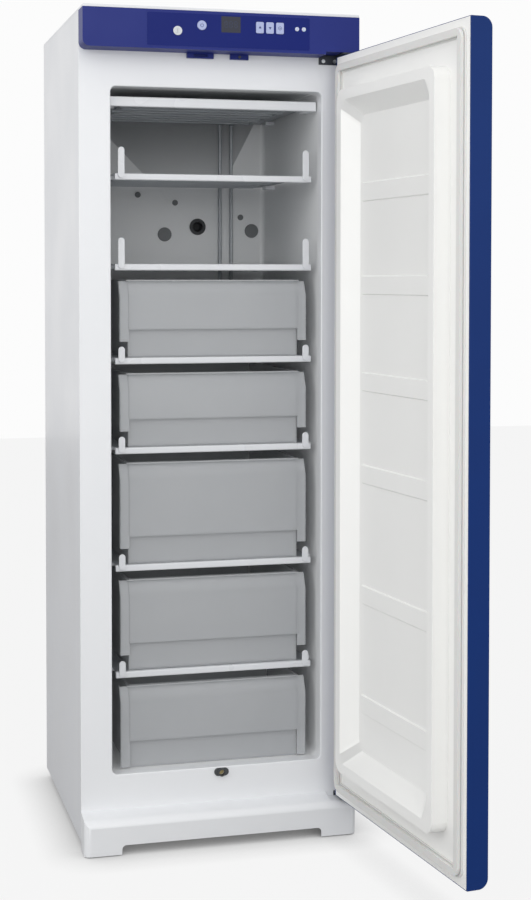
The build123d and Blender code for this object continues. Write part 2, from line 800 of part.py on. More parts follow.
with BuildPart() as header_housing:
    block(
        front_plane(0),
        (-half_width, half_width),
        (header_bottom, lid_bottom),
        header_depth,
    )
    lower_edges = header_housing.edges().filter_by(Axis.Y).group_by(Axis.Z)[0]
    fillet(lower_edges.sort_by(Axis.X)[0], HEADER_LOWER_RADIUS)
    cavity_outline = (
        (-half_width + HEADER_WALL, cavity_floor),
        (recess_left - HEADER_WALL, cavity_floor),
        (recess_left - HEADER_WALL, cavity_floor + HINGE_RECESS_HEIGHT),
        (half_width - HEADER_WALL, cavity_floor + HINGE_RECESS_HEIGHT),
        (half_width - HEADER_WALL, CABINET_HEIGHT),
        (-half_width + HEADER_WALL, CABINET_HEIGHT),
    )
    with BuildPart(mode=Mode.PRIVATE) as cavity:
        profile_bar(front_plane(0), cavity_outline, header_depth - HEADER_WALL)
        cavity_edges = cavity.edges().filter_by(Axis.Y).group_by(Axis.Z)[0]
        fillet(cavity_edges.sort_by(Axis.X)[0], HEADER_LOWER_RADIUS - HEADER_WALL)
    add(cavity.part, mode=Mode.SUBTRACT)
    block(
        front_plane(0),
        (recess_left, CABINET_WIDTH),
        (0, header_bottom + HINGE_RECESS_HEIGHT),
        2 * header_depth,
        Mode.SUBTRACT,
    )
    rounded_block(
        front_plane(header_front + FASCIA_RECESS),
        (FASCIA_LEFT, FASCIA_RIGHT),
        (header_bottom + FASCIA_MARGIN, lid_bottom - FASCIA_MARGIN),
        BUTTON_RADIUS,
        2 * FASCIA_RECESS,
        Mode.SUBTRACT,
    )
    for place in post_places:
        rod(front_plane(board_front), place, BOARD_POST_RADIUS, BOARD_GAP)
    for x in BUTTON_X:
        rounded_block(
            front_plane(header_inside),
            (x - BUTTON_WIDTH / 2 - BUTTON_CLEARANCE, x + BUTTON_WIDTH / 2 + BUTTON_CLEARANCE),
            (
                control_z - BUTTON_HEIGHT / 2 - BUTTON_CLEARANCE,
                control_z + BUTTON_HEIGHT / 2 + BUTTON_CLEARANCE,
            ),
            BUTTON_RADIUS + BUTTON_CLEARANCE,
            2 * HEADER_WALL,
            Mode.SUBTRACT,
        )
    rod(
        front_plane(header_inside),
        (POWER_X, control_z),
        POWER_RADIUS + BUTTON_CLEARANCE,
        2 * HEADER_WALL,
        Mode.SUBTRACT,
    )
    rod(front_plane(header_inside), (KEY_X, key_z), KEY_RADIUS, 2 * HEADER_WALL, Mode.SUBTRACT)
    block(
        front_plane(header_inside),
        (display_x_range[0] + DISPLAY_LEDGE, display_x_range[1] - DISPLAY_LEDGE),
        (display_z_range[0] + DISPLAY_LEDGE, display_z_range[1] - DISPLAY_LEDGE),
        2 * HEADER_WALL,
        Mode.SUBTRACT,
    )
save(header_housing, "header_housing")

# Control fascia: a thin panel in the recess with cut-outs for the controls
fascia_floor = header_front + FASCIA_RECESS
with BuildPart() as control_fascia:
    rounded_block(
        front_plane(fascia_floor),
        (FASCIA_LEFT, FASCIA_RIGHT),
        (header_bottom + FASCIA_MARGIN, lid_bottom - FASCIA_MARGIN),
        BUTTON_RADIUS,
        FASCIA_THICKNESS,
    )
    for x in BUTTON_X:
        rounded_block(
            front_plane(0),
            (x - BUTTON_WIDTH / 2 - BUTTON_CLEARANCE, x + BUTTON_WIDTH / 2 + BUTTON_CLEARANCE),
            (
                control_z - BUTTON_HEIGHT / 2 - BUTTON_CLEARANCE,
                control_z + BUTTON_HEIGHT / 2 + BUTTON_CLEARANCE,
            ),
            BUTTON_RADIUS + BUTTON_CLEARANCE,
            2 * header_depth,
            Mode.SUBTRACT,
        )
    rod(
        front_plane(0),
        (POWER_X, control_z),
        POWER_RADIUS + BUTTON_CLEARANCE,
        2 * header_depth,
        Mode.SUBTRACT,
    )
    rod(front_plane(0), (KEY_X, key_z), KEY_RADIUS, 2 * header_depth, Mode.SUBTRACT)
    for x in LAMP_X:
        rod(front_plane(0), (x, control_z), LAMP_RADIUS, 2 * header_depth, Mode.SUBTRACT)
    block(front_plane(0), display_x_range, display_z_range, 2 * header_depth, Mode.SUBTRACT)
save(control_fascia, "control_fascia")

# Display window in the fascia's cut-out
with BuildPart() as display_window:
    block(front_plane(fascia_floor), display_x_range, display_z_range, DISPLAY_THICKNESS)
save(display_window, "display_window")

# Two indicator lamps
with BuildPart() as indicator_lamps:
    for x in LAMP_X:
        rod(
            front_plane(fascia_floor),
            (x, control_z),
            LAMP_RADIUS,
            FASCIA_THICKNESS + LAMP_PROUD,
        )
    lamp_rims = indicator_lamps.edges().group_by(Axis.Y)[0]
    chamfer(lamp_rims, LAMP_PROUD / 2)
save(indicator_lamps, "indicator_lamps")

# Control board on its posts, with the display module and a switch behind every button
module_front = fascia_floor + SEAT_GAP
with BuildPart() as control_board:
    block(
        front_plane(board_front + BOARD_THICKNESS),
        (board_left, board_right),
        (board_bottom, board_top),
        BOARD_THICKNESS,
    )
    block(
        front_plane(board_front),
        (display_x_range[0] + 2 * DISPLAY_LEDGE, display_x_range[1] - 2 * DISPLAY_LEDGE),
        (display_z_range[0] + 2 * DISPLAY_LEDGE, display_z_range[1] - 2 * DISPLAY_LEDGE),
        board_front - module_front,
    )
    for x in (POWER_X,) + BUTTON_X:
        block(
            front_plane(board_front),
            (x - SWITCH_SIZE / 2, x + SWITCH_SIZE / 2),
            (control_z - SWITCH_SIZE / 2, control_z + SWITCH_SIZE / 2),
            SWITCH_BODY,
        )
save(control_board, "control_board")

# Push buttons: a cap through the fascia and a flange behind the housing's wall
button_front = fascia_front - BUTTON_PROUD
button_flange_front = header_inside + SEAT_GAP
for number, x in enumerate(BUTTON_X, start=1):
    with BuildPart() as button:
        rounded_block(
            front_plane(button_flange_front),
            (x - BUTTON_WIDTH / 2, x + BUTTON_WIDTH / 2),
            (control_z - BUTTON_HEIGHT / 2, control_z + BUTTON_HEIGHT / 2),
            BUTTON_RADIUS,
            button_flange_front - button_front,
        )
        cap_edges = button.edges().group_by(Axis.Y)[0]
        chamfer(cap_edges, BUTTON_PROUD / 3)
        block(
            front_plane(button_flange_front + BUTTON_FLANGE),
            (x - BUTTON_WIDTH / 2 - BUTTON_FLANGE, x + BUTTON_WIDTH / 2 + BUTTON_FLANGE),
            (
                control_z - BUTTON_HEIGHT / 2 - BUTTON_FLANGE,
                control_z + BUTTON_HEIGHT / 2 + BUTTON_FLANGE,
            ),
            BUTTON_FLANGE,
        )
    save(button, f"button_{number}")

# Round power button
with BuildPart() as power_button:
    rod(
        front_plane(button_flange_front),
        (POWER_X, control_z),
        POWER_RADIUS,
        button_flange_front - button_front,
    )
    cap_edges = power_button.edges().group_by(Axis.Y)[0]
    chamfer(cap_edges, BUTTON_PROUD / 3)
    rod(
        front_plane(button_flange_front + BUTTON_FLANGE),
        (POWER_X, control_z),
        POWER_RADIUS + BUTTON_FLANGE,
        BUTTON_FLANGE,
    )
save(power_button, "power_button")

# Key switch: a fixed barrel with a bezel and a plug that turns in it
bezel_front = fascia_front - KEY_BEZEL_THICKNESS
with BuildPart() as key_barrel:
    rod(
        front_plane(bezel_front + KEY_BARREL_LENGTH),
        (KEY_X, key_z),
        KEY_RADIUS,
        KEY_BARREL_LENGTH,
    )
    rod(
        front_plane(fascia_front),
        (KEY_X, key_z),
        KEY_RADIUS + KEY_BEZEL,
        KEY_BEZEL_THICKNESS,
    )
    rod(
        front_plane(bezel_front + KEY_BARREL_LENGTH - KEY_RIM),
        (KEY_X, key_z),
        KEY_RADIUS - KEY_RIM,
        2 * KEY_BARREL_LENGTH,
        Mode.SUBTRACT,
    )
save(key_barrel, "key_barrel")
with BuildPart() as key_switch:
    plug_back = bezel_front + KEY_BARREL_LENGTH - KEY_RIM - SEAT_GAP
    rod(
        front_plane(plug_back),
        (KEY_X, key_z),
        KEY_RADIUS - KEY_RIM - RUNNING_FIT,
        KEY_BARREL_LENGTH - KEY_RIM,
    )
    block(
        front_plane(bezel_front - SEAT_GAP + KEY_SLOT_DEPTH),
        (KEY_X - KEY_SLOT_WIDTH / 2, KEY_X + KEY_SLOT_WIDTH / 2),
        (key_z - KEY_SLOT_LENGTH / 2, key_z + KEY_SLOT_LENGTH / 2),
        2 * KEY_SLOT_DEPTH,
        Mode.SUBTRACT,
    )
save(key_switch, "key_switch")

# Keeper for the door's lock, under the header
with BuildPart() as lock_keeper:
    keeper_z = header_bottom - KEEPER_HEIGHT / 2
    block(
        front_plane(0),
        (KEEPER_X - KEEPER_WIDTH / 2, KEEPER_X + KEEPER_WIDTH / 2),
        (header_bottom - KEEPER_HEIGHT, header_bottom),
        KEEPER_DEPTH,
    )
    block(
        front_plane(-HINGE_PLATE),
        (KEEPER_X - KEEPER_SLOT_WIDTH / 2, KEEPER_X + KEEPER_SLOT_WIDTH / 2),
        (keeper_z - KEEPER_SLOT_HEIGHT / 2, keeper_z + KEEPER_SLOT_HEIGHT / 2),
        KEEPER_DEPTH,
        Mode.SUBTRACT,
    )
save(lock_keeper, "lock_keeper")

# Door switch and its plunger
plunger_z = header_bottom - KEEPER_HEIGHT / 2
plunger_front = -SWITCH_DEPTH - PLUNGER_PROUD
with BuildPart() as door_switch:
    block(
        front_plane(0),
        (SWITCH_X - SWITCH_WIDTH / 2, SWITCH_X + SWITCH_WIDTH / 2),
        (header_bottom - KEEPER_HEIGHT, header_bottom),
        SWITCH_DEPTH,
    )
    rod(
        front_plane(plunger_front + PLUNGER_LENGTH + PLUNGER_TRAVEL + SEAT_GAP),
        (SWITCH_X, plunger_z),
        PLUNGER_RADIUS + RUNNING_FIT,
        2 * SWITCH_DEPTH,
        Mode.SUBTRACT,
    )
save(door_switch, "door_switch")
with BuildPart() as switch_plunger:
    rod(
        front_plane(plunger_front + PLUNGER_LENGTH),
        (SWITCH_X, plunger_z),
        PLUNGER_RADIUS,
        PLUNGER_LENGTH,
    )
    plunger_tip = switch_plunger.edges().group_by(Axis.Y)[0]
    chamfer(plunger_tip, PLUNGER_RADIUS / 3)
save(switch_plunger, "switch_plunger")

# Hinges: an arm over or under the door and a flange screwed to the frame
upper_arm = header_bottom + HINGE_RECESS_HEIGHT
lower_arm = DOOR_BOTTOM - BUSH_FLANGE - SEAT_GAP - HINGE_PLATE
arm_reach = hinge_y - PIN_RADIUS - HINGE_CORNER
with BuildPart() as upper_hinge:
    block(
        Plane.XY.offset(upper_arm - HINGE_PLATE),
        (half_width - HINGE_WIDTH, half_width),
        (arm_reach, 0),
        HINGE_PLATE,
    )
    front_corners = upper_hinge.edges().filter_by(Axis.Z).group_by(Axis.Y)[0]
    fillet(front_corners, HINGE_CORNER)
    block(
        front_plane(0),
        (recess_left + SEAT_GAP, recess_left + UPPER_FLANGE_WIDTH),
        (header_bottom - UPPER_FLANGE_DROP, upper_arm),
        HINGE_PLATE,
    )
    rod(
        Plane.XY.offset(header_bottom),
        (hinge_x, hinge_y),
        PIN_RADIUS,
        2 * HINGE_RECESS_HEIGHT,
        Mode.SUBTRACT,
    )
save(upper_hinge, "upper_hinge")
with BuildPart() as lower_hinge:
    block(
        Plane.XY.offset(lower_arm),
        (half_width - HINGE_WIDTH, half_width),
        (arm_reach, 0),
        HINGE_PLATE,
    )
    front_corners = lower_hinge.edges().filter_by(Axis.Z).group_by(Axis.Y)[0]
    fillet(front_corners, HINGE_CORNER)
    block(
        front_plane(0),
        (lower_flange_left, lower_flange_right),
        (lower_arm - LOWER_FLANGE_DROP, lower_arm + HINGE_PLATE),
        HINGE_PLATE,
    )
    rod(
        Plane.XY.offset(lower_arm - HINGE_PLATE),
        (hinge_x, hinge_y),
        PIN_RADIUS,
        3 * HINGE_PLATE,
        Mode.SUBTRACT,
    )
save(lower_hinge, "lower_hinge")
with BuildPart() as hinge_pins:
    rod(Plane.XY.offset(lower_arm), (hinge_x, hinge_y), PIN_RADIUS, PIN_LENGTH)
    rod(Plane.XY.offset(upper_arm - PIN_LENGTH), (hinge_x, hinge_y), PIN_RADIUS, PIN_LENGTH)
save(hinge_pins, "hinge_pins")

# Screw heads on both flanges
upper_screw_z = header_bottom - UPPER_FLANGE_DROP / 2
lower_screw_x = (lower_flange_left + lower_flange_right) / 2
screw_places = (
    (recess_left + FLANGE_SCREW_INSET, upper_screw_z),
    (recess_left + UPPER_FLANGE_WIDTH / 2, upper_screw_z),
    (recess_left + UPPER_FLANGE_WIDTH - FLANGE_SCREW_INSET, upper_screw_z),
    (lower_screw_x, lower_arm - LOWER_FLANGE_DROP / 2),
    (lower_screw_x, lower_arm - LOWER_FLANGE_DROP + FLANGE_SCREW_INSET),
)
with BuildPart() as hinge_screws:
    for place in screw_places:
        rod(front_plane(-HINGE_PLATE), place, SCREW_HEAD_RADIUS, SCREW_HEAD_HEIGHT)
save(hinge_screws, "hinge_screws")

# Evaporator shelves: a plate with a refrigerant channel pressed under it
channel_half = half_shelf - CHANNEL_MARGIN
channel_front = SHELF_FRONT + CHANNEL_MARGIN
channel_pitch = (shelf_back - SHELF_FRONT - 2 * CHANNEL_MARGIN) / (CHANNEL_RUNS - 1)
with BuildPart() as evaporator_shelves:
    for level in all_levels:
        block(
            Plane.XY.offset(level - SHELF_PLATE),
            (-half_shelf, half_shelf),
            (SHELF_FRONT, shelf_back),
            SHELF_PLATE,
        )
        channel_top = level - SHELF_PLATE
        with BuildSketch(Plane.XY.offset(channel_top - CHANNEL_HEIGHT)):
            for run in range(CHANNEL_RUNS):
                with Locations((0, channel_front + run * channel_pitch)):
                    Rectangle(2 * channel_half, CHANNEL_WIDTH)
            for run in range(CHANNEL_RUNS - 1):
                end = (channel_half - CHANNEL_WIDTH / 2) * (1 if run % 2 == 0 else -1)
                with Locations((end, channel_front + (run + 0.5) * channel_pitch)):
                    Rectangle(CHANNEL_WIDTH, channel_pitch)
        extrude(amount=CHANNEL_HEIGHT)
save(evaporator_shelves, "evaporator_shelves")

# Riser tubes behind the shelves, with a stub to every channel
riser_y = liner_depth - RISER_GAP - RISER_RADIUS
stub_start = channel_front + (CHANNEL_RUNS - 1) * channel_pitch + CHANNEL_WIDTH / 2
with BuildPart() as riser_tubes:
    for inset in RISER_INSETS:
        x = half_opening - inset
        riser_bottom = all_levels[0] - SHELF_PLATE - CHANNEL_HEIGHT
        rod(
            Plane.XY.offset(riser_bottom),
            (x, riser_y),
            RISER_RADIUS,
            all_levels[-1] - riser_bottom,
        )
        for level in all_levels:
            stub_top = level - SHELF_PLATE
            block(
                Plane.XY.offset(stub_top - CHANNEL_HEIGHT),
                (x - RISER_RADIUS / 2, x + RISER_RADIUS / 2),
                (stub_start, riser_y),
                CHANNEL_HEIGHT,
            )
save(riser_tubes, "riser_tubes")

# Front trims that carry the shelves' front edges
with BuildPart() as shelf_trims:
    for level in all_levels:
        is_top = level == top_level
        trim_half = half_opening - TOP_TRIM_END_GAP if is_top else half_shelf
        trim_top = level + TOP_TRIM_ABOVE if is_top else level
        trim_bottom = level - TOP_TRIM_BELOW if is_top else level - TRIM_HEIGHT
        lip_top = level - SHELF_PLATE
        outline = (
            (TRIM_FRONT, trim_bottom),
            (SHELF_FRONT, trim_bottom),
            (SHELF_FRONT, lip_top - TRIM_LIP_DROP),
            (SHELF_FRONT + TRIM_LIP, lip_top - TRIM_LIP_DROP),
            (SHELF_FRONT + TRIM_LIP, lip_top),
            (SHELF_FRONT, lip_top),
            (SHELF_FRONT, trim_top),
            (TRIM_FRONT, trim_top),
        )
        profile_bar(Plane.YZ.offset(-trim_half), outline, 2 * trim_half)
    trim_edges = shelf_trims.edges().filter_by(Axis.X).group_by(Axis.Y)[0]
    fillet(trim_edges, TRIM_RADIUS)
save(shelf_trims, "shelf_trims")

# Brackets: rails on the liner's sides under every shelf and upright tabs beside the trims
with BuildPart() as shelf_brackets:
    for level in all_levels:
        for side in (-1, 1):
            rail_inner = side * (half_shelf - RAIL_BEARING)
            rail_outer = side * half_opening
            for y in rail_places:
                block(
                    Plane.XY.offset(level - SHELF_PLATE - RAIL_HEIGHT),
                    (min(rail_inner, rail_outer), max(rail_inner, rail_outer)),
                    (y - RAIL_LENGTH / 2, y + RAIL_LENGTH / 2),
                    RAIL_HEIGHT,
                )
    for level in standing_levels:
        is_tall = level in standing_levels[-TALL_EAR_LEVELS:]
        ear_height = EAR_HEIGHT if is_tall else SHORT_EAR_HEIGHT
        with BuildSketch(front_plane(TRIM_FRONT)):
            with Locations(
                (-ear_x, level - EAR_BELOW + ear_height / 2),
                (ear_x, level - EAR_BELOW + ear_height / 2),
            ):
                SlotOverall(ear_height, EAR_WIDTH, rotation=90)
        extrude(amount=EAR_DEPTH)
save(shelf_brackets, "shelf_brackets")

# Access port through the back wall
with BuildPart() as access_port:
    rod(
        front_plane(BODY_DEPTH - SHEET),
        (port_x, port_level),
        PORT_RADIUS + PORT_WALL,
        BODY_DEPTH - SHEET - liner_depth,
    )
    rod(
        front_plane(liner_depth),
        (port_x, port_level),
        PORT_FLANGE_RADIUS,
        PORT_FLANGE,
    )
    rod(
        front_plane(2 * BODY_DEPTH),
        (port_x, port_level),
        PORT_RADIUS,
        2 * BODY_DEPTH,
        Mode.SUBTRACT,
    )
save(access_port, "access_port")

# Plugs and screw caps on the back wall
with BuildPart() as wall_plugs:
    for radius, places in ((PLUG_RADIUS, PLUG_PLACES), (CAP_RADIUS, CAP_PLACES)):
        for inset, rise in places:
            place = (half_opening - inset, port_shelf + rise)
            rod(front_plane(liner_depth), place, radius, PLUG_HEIGHT)
    plug_rims = wall_plugs.edges().group_by(Axis.Y)[0]
    chamfer(plug_rims, PLUG_HEIGHT / 3)
save(wall_plugs, "wall_plugs")

# Compressor: a domed can on a plate
tray_floor = BASE_BOTTOM + BASE_SHEET
compressor_plate_bottom = tray_floor + MOUNT_HEIGHT
can_bottom = compressor_plate_bottom + COMPRESSOR_PLATE
with BuildPart() as compressor:
    rod(
        Plane.XY.offset(can_bottom),
        (compressor_x, compressor_y),
        COMPRESSOR_RADIUS,
        COMPRESSOR_HEIGHT,
    )
    can_rim = compressor.edges().group_by(Axis.Z)[-1]
    chamfer(can_rim, COMPRESSOR_RADIUS / 6, COMPRESSOR_RADIUS / 3)
    rounded_block(
        Plane.XY.offset(compressor_plate_bottom),
        (
            compressor_x - MOUNT_SPACING_X / 2 - MOUNT_RADIUS,
            compressor_x + MOUNT_SPACING_X / 2 + MOUNT_RADIUS,
        ),
        (
            compressor_y - MOUNT_SPACING_Y / 2 - MOUNT_RADIUS,
            compressor_y + MOUNT_SPACING_Y / 2 + MOUNT_RADIUS,
        ),
        MOUNT_RADIUS,
        COMPRESSOR_PLATE,
    )
save(compressor, "compressor")

# Rubber mounts between the tray and the compressor's plate
with BuildPart() as compressor_mounts:
    with BuildSketch(Plane.XY.offset(tray_floor)):
        with Locations((compressor_x, compressor_y)):
            with GridLocations(MOUNT_SPACING_X, MOUNT_SPACING_Y, 2, 2):
                Circle(MOUNT_RADIUS)
    extrude(amount=MOUNT_HEIGHT)
save(compressor_mounts, "compressor_mounts")

# Start relay on the compressor's side
relay_left = compressor_x + COMPRESSOR_RADIUS - RELAY_WIDTH / 4
with BuildPart() as start_relay:
    block(
        Plane.XY.offset(can_bottom + RELAY_HEIGHT / 2),
        (relay_left, relay_left + RELAY_WIDTH),
        (compressor_y - RELAY_DEPTH / 2, compressor_y + RELAY_DEPTH / 2),
        RELAY_HEIGHT,
    )
    add(compressor.part, mode=Mode.SUBTRACT)
save(start_relay, "start_relay")

# Drip tray on top of the compressor
drip_bottom = can_bottom + COMPRESSOR_HEIGHT
with BuildPart() as drip_tray:
    block(
        Plane.XY.offset(drip_bottom),
        (compressor_x - DRIP_TRAY_WIDTH / 2, compressor_x + DRIP_TRAY_WIDTH / 2),
        (compressor_y - DRIP_TRAY_DEPTH / 2, compressor_y + DRIP_TRAY_DEPTH / 2),
        DRIP_TRAY_HEIGHT,
    )
    drip_rim = drip_tray.faces().sort_by(Axis.Z)[-1]
    offset(amount=-DRIP_TRAY_WALL, openings=drip_rim)
save(drip_tray, "drip_tray")

# Condenser: a sheet behind the back panel with one winding tube and four clips
condenser_front = BODY_DEPTH + CONDENSER_STANDOFF - SHEET
condenser_pitch = (condenser_top - condenser_bottom - 2 * CONDENSER_MARGIN) / (CONDENSER_RUNS - 1)
tube_half = condenser_half - CONDENSER_MARGIN
first_run = condenser_bottom + CONDENSER_MARGIN
last_run = condenser_top - CONDENSER_MARGIN
condenser_inlet_x = -tube_half + CONDENSER_TUBE / 2
condenser_outlet_x = condenser_half - CONDENSER_MARGIN / 2
outlet_top = last_run + CONDENSER_TUBE / 2
clip_x = condenser_half - CLIP_INSET / 2
clip_places = [
    (side * clip_x, z)
    for side in (-1, 1)
    for z in (condenser_bottom + CLIP_INSET, condenser_top - CLIP_INSET)
]
with BuildPart() as condenser:
    block(
        front_plane(condenser_front + CONDENSER_SHEET),
        (-condenser_half, condenser_half),
        (condenser_bottom, condenser_top),
        CONDENSER_SHEET,
    )
    with BuildSketch(front_plane(condenser_front + CONDENSER_SHEET + CONDENSER_TUBE)):
        for run in range(CONDENSER_RUNS):
            with Locations((0, first_run + run * condenser_pitch)):
                Rectangle(2 * tube_half, CONDENSER_TUBE)
        for run in range(CONDENSER_RUNS - 1):
            end = (tube_half - CONDENSER_TUBE / 2) * (1 if run % 2 == 0 else -1)
            with Locations((end, first_run + (run + 0.5) * condenser_pitch)):
                Rectangle(CONDENSER_TUBE, condenser_pitch)
        with Locations((condenser_inlet_x, first_run - CONDENSER_MARGIN / 2)):
            Rectangle(CONDENSER_TUBE, CONDENSER_MARGIN)
        with Locations((condenser_outlet_x, (outlet_top + condenser_bottom) / 2)):
            Rectangle(CONDENSER_TUBE, outlet_top - condenser_bottom)
        with Locations(((tube_half + condenser_outlet_x) / 2, last_run)):
            Rectangle(condenser_outlet_x - tube_half, CONDENSER_TUBE)
    extrude(amount=CONDENSER_TUBE)
    with BuildSketch(front_plane(condenser_front)):
        with Locations(*clip_places):
            Rectangle(CLIP_SIZE, CLIP_SIZE)
    extrude(amount=CONDENSER_STANDOFF)
save(condenser, "condenser")

# Filter drier: an upright capsule in the bay, carried by its pipes
with BuildPart() as filter_drier:
    rod(Plane.XY.offset(drier_bottom), (drier_x, drier_y), DRIER_RADIUS, DRIER_LENGTH)
    drier_ends = filter_drier.edges().filter_by(GeomType.CIRCLE)
    chamfer(drier_ends, DRIER_RADIUS / 2)
    rod(
        Plane.XY.offset(drier_bottom - DRIER_NECK),
        (drier_x, drier_y),
        PIPE_RADIUS + 1,
        DRIER_LENGTH + 2 * DRIER_NECK,
    )
save(filter_drier, "filter_drier")

# Pipes: compressor to condenser, condenser to drier, drier to the foam and the way back
discharge_z = can_bottom + COMPRESSOR_HEIGHT / 3
suction_z = can_bottom + RELAY_HEIGHT * 1.5 + SUCTION_RISE
pipe_y = condenser_front + CONDENSER_SHEET + CONDENSER_TUBE / 2
drier_inlet = drier_bottom - DRIER_NECK
pipe_paths = (
    (
        (compressor_x - COMPRESSOR_RADIUS, compressor_y, discharge_z),
        (condenser_inlet_x, compressor_y, discharge_z),
        (condenser_inlet_x, pipe_y, discharge_z),
        (condenser_inlet_x, pipe_y, condenser_bottom),
    ),
    (
        (condenser_outlet_x, pipe_y, condenser_bottom),
        (condenser_outlet_x, pipe_y, drier_inlet - DRIER_NECK),
        (condenser_outlet_x, drier_y, drier_inlet - DRIER_NECK),
        (drier_x, drier_y, drier_inlet - DRIER_NECK),
        (drier_x, drier_y, drier_inlet),
    ),
    (
        (drier_x, drier_y, drier_bottom + DRIER_LENGTH + DRIER_NECK),
        (drier_x, drier_y, bay_top),
    ),
    (
        (suction_x, compressor_y, bay_top),
        (suction_x, compressor_y, suction_z),
        (compressor_x + COMPRESSOR_RADIUS, compressor_y, suction_z),
    ),
)
pipe_parts = []
for path in pipe_paths:
    with BuildPart() as pipe:
        with BuildLine() as route:
            Polyline(*path)
        start = route.line @ 0
        with BuildSketch(Plane(origin=start, z_dir=route.line % 0)):
            RegularPolygon(PIPE_RADIUS, 8)
        sweep(path=route.line, transition=Transition.RIGHT)
    pipe_parts = pipe_parts + [pipe.part.solid()]
pipes = Compound(label="refrigerant_pipes", children=pipe_parts)
export_step(pipes, "parts/refrigerant_pipes.step")

# Cable gland in the base tray's back wall
with BuildPart() as cable_gland:
    gland_start = tray_back + GLAND_LENGTH / 2
    rod(front_plane(gland_start), (gland_x, GLAND_LEVEL), GLAND_RADIUS, GLAND_LENGTH)
    with BuildSketch(front_plane(gland_start)):
        with Locations((gland_x, GLAND_LEVEL)):
            RegularPolygon(GLAND_RADIUS * 1.35, 6)
    extrude(amount=GLAND_LENGTH / 2)
    rod(
        front_plane(2 * BODY_DEPTH),
        (gland_x, GLAND_LEVEL),
        GLAND_BORE,
        2 * BODY_DEPTH,
        Mode.SUBTRACT,
    )
save(cable_gland, "cable_gland")

# Door, standing open. Its section has rounded front corners above and below.
skin_left = door_left + DOOR_EDGE_WIDTH
skin_right = door_right - DOOR_EDGE_WIDTH
skin_width = skin_right - skin_left
door_middle_u = (door_left + door_right) / 2
grip_u = door_left + GRIP_INSET


def door_bar(start, length, inset, back):
    """Bar with the door's section, drawn in by a wall, up to a depth behind the pins."""
    radius = DOOR_NOSE_RADIUS - inset
    front = door_front + inset
    bottom = DOOR_BOTTOM + inset
    top = door_top - inset
    with BuildPart() as bar:
        with BuildSketch(door_section(start)):
            with Locations(((front + back) / 2, (bottom + top) / 2)):
                Rectangle(back - front, top - bottom)
        extrude(amount=length)
        along = Vector(*door_direction(1, 0))
        long_edges = [
            edge
            for edge in bar.edges()
            if abs(abs((edge % 0).dot(along)) - 1) < 0.01
        ]
        facing = Vector(*door_direction(0, 1))
        long_edges.sort(key=lambda edge: (edge @ 0.5).dot(facing))
        fillet(long_edges[:2], radius)
    return bar.part


def rim_form(inset):
    """Raised crest of the door's liner with its sloped inner side, drawn in by a wall."""
    half_rim = half_opening - RIM_CLEARANCE - inset
    middle_z = opening_middle
    rim_tall = opening_height - 2 * RIM_CLEARANCE - 2 * inset
    inner_half = half_rim - RIM_WIDTH + 2 * inset
    inner_tall = rim_tall - 2 * RIM_WIDTH + 4 * inset
    floor_v = door_inner + PANEL_HEIGHT - inset
    crest_v = door_inner + RIM_HEIGHT - inset
    with BuildPart() as rim:
        with BuildSketch(door_face(door_inner - inset)):
            with Locations((-hinge_x, middle_z)):
                RectangleRounded(2 * half_rim, rim_tall, RIM_RADIUS - inset)
        extrude(amount=-RIM_HEIGHT)
    with BuildPart() as pocket:
        with BuildSketch(door_face(crest_v)):
            with Locations((-hinge_x, middle_z)):
                RectangleRounded(2 * inner_half, inner_tall, RIM_RADIUS)
        with BuildSketch(door_face(floor_v)):
            with Locations((-hinge_x, middle_z)):
                RectangleRounded(
                    2 * inner_half - 2 * RIM_SLOPE,
                    inner_tall - 2 * RIM_SLOPE,
                    RIM_RADIUS,
                )
        loft()
    with BuildPart() as form:
        add(rim.part)
        add(pocket.part, mode=Mode.SUBTRACT)
    return form.part


def bush_holes(radius):
    """Cylinders round the hinge axis at the door's bottom and top."""
    with BuildPart() as holes:
        rod(
            Plane.XY.offset(DOOR_BOTTOM - BUSH_FLANGE),
            (hinge_x, hinge_y),
            radius,
            BUSH_FLANGE + BUSH_LENGTH,
        )
        rod(
            Plane.XY.offset(door_top - BUSH_LENGTH),
            (hinge_x, hinge_y),
            radius,
            BUSH_FLANGE + BUSH_LENGTH,
        )
    return holes.part


def grip_form(margin, depth):
    """Block with the grip cup's outline, grown by a margin, from the door's front inwards."""
    with BuildPart() as form:
        with BuildSketch(door_face(door_front + depth)):
            with Locations((grip_u, grip_level)):
                RectangleRounded(
                    GRIP_WIDTH + 2 * margin,
                    GRIP_LENGTH + 2 * margin,
                    GRIP_WIDTH / 4 + margin,
                )
        extrude(amount=depth)
    return form.part


bush_space = bush_holes(BUSH_RADIUS)
cup_space = grip_form(GRIP_WALL, GRIP_DEPTH + GRIP_WALL)
skin_outside = door_bar(skin_left, skin_width, 0, door_inner)
skin_inside = door_bar(skin_left, skin_width, DOOR_SKIN, door_inner)

# Outer skin, wrapped over the door's top and bottom
with BuildPart() as door_skin:
    add(skin_outside)
    add(skin_inside, mode=Mode.SUBTRACT)
    add(bush_space, mode=Mode.SUBTRACT)
    add(cup_space, mode=Mode.SUBTRACT)
save(door_skin, "door_skin")

# Edge profiles that close the skin at both sides
edge_places = (("door_edge_free", door_left), ("door_edge_hinge", skin_right))
for name, start in edge_places:
    edge_solid = door_bar(start, DOOR_EDGE_WIDTH, 0, door_inner)
    with BuildPart() as door_edge:
        add(edge_solid)
    save(door_edge, name)

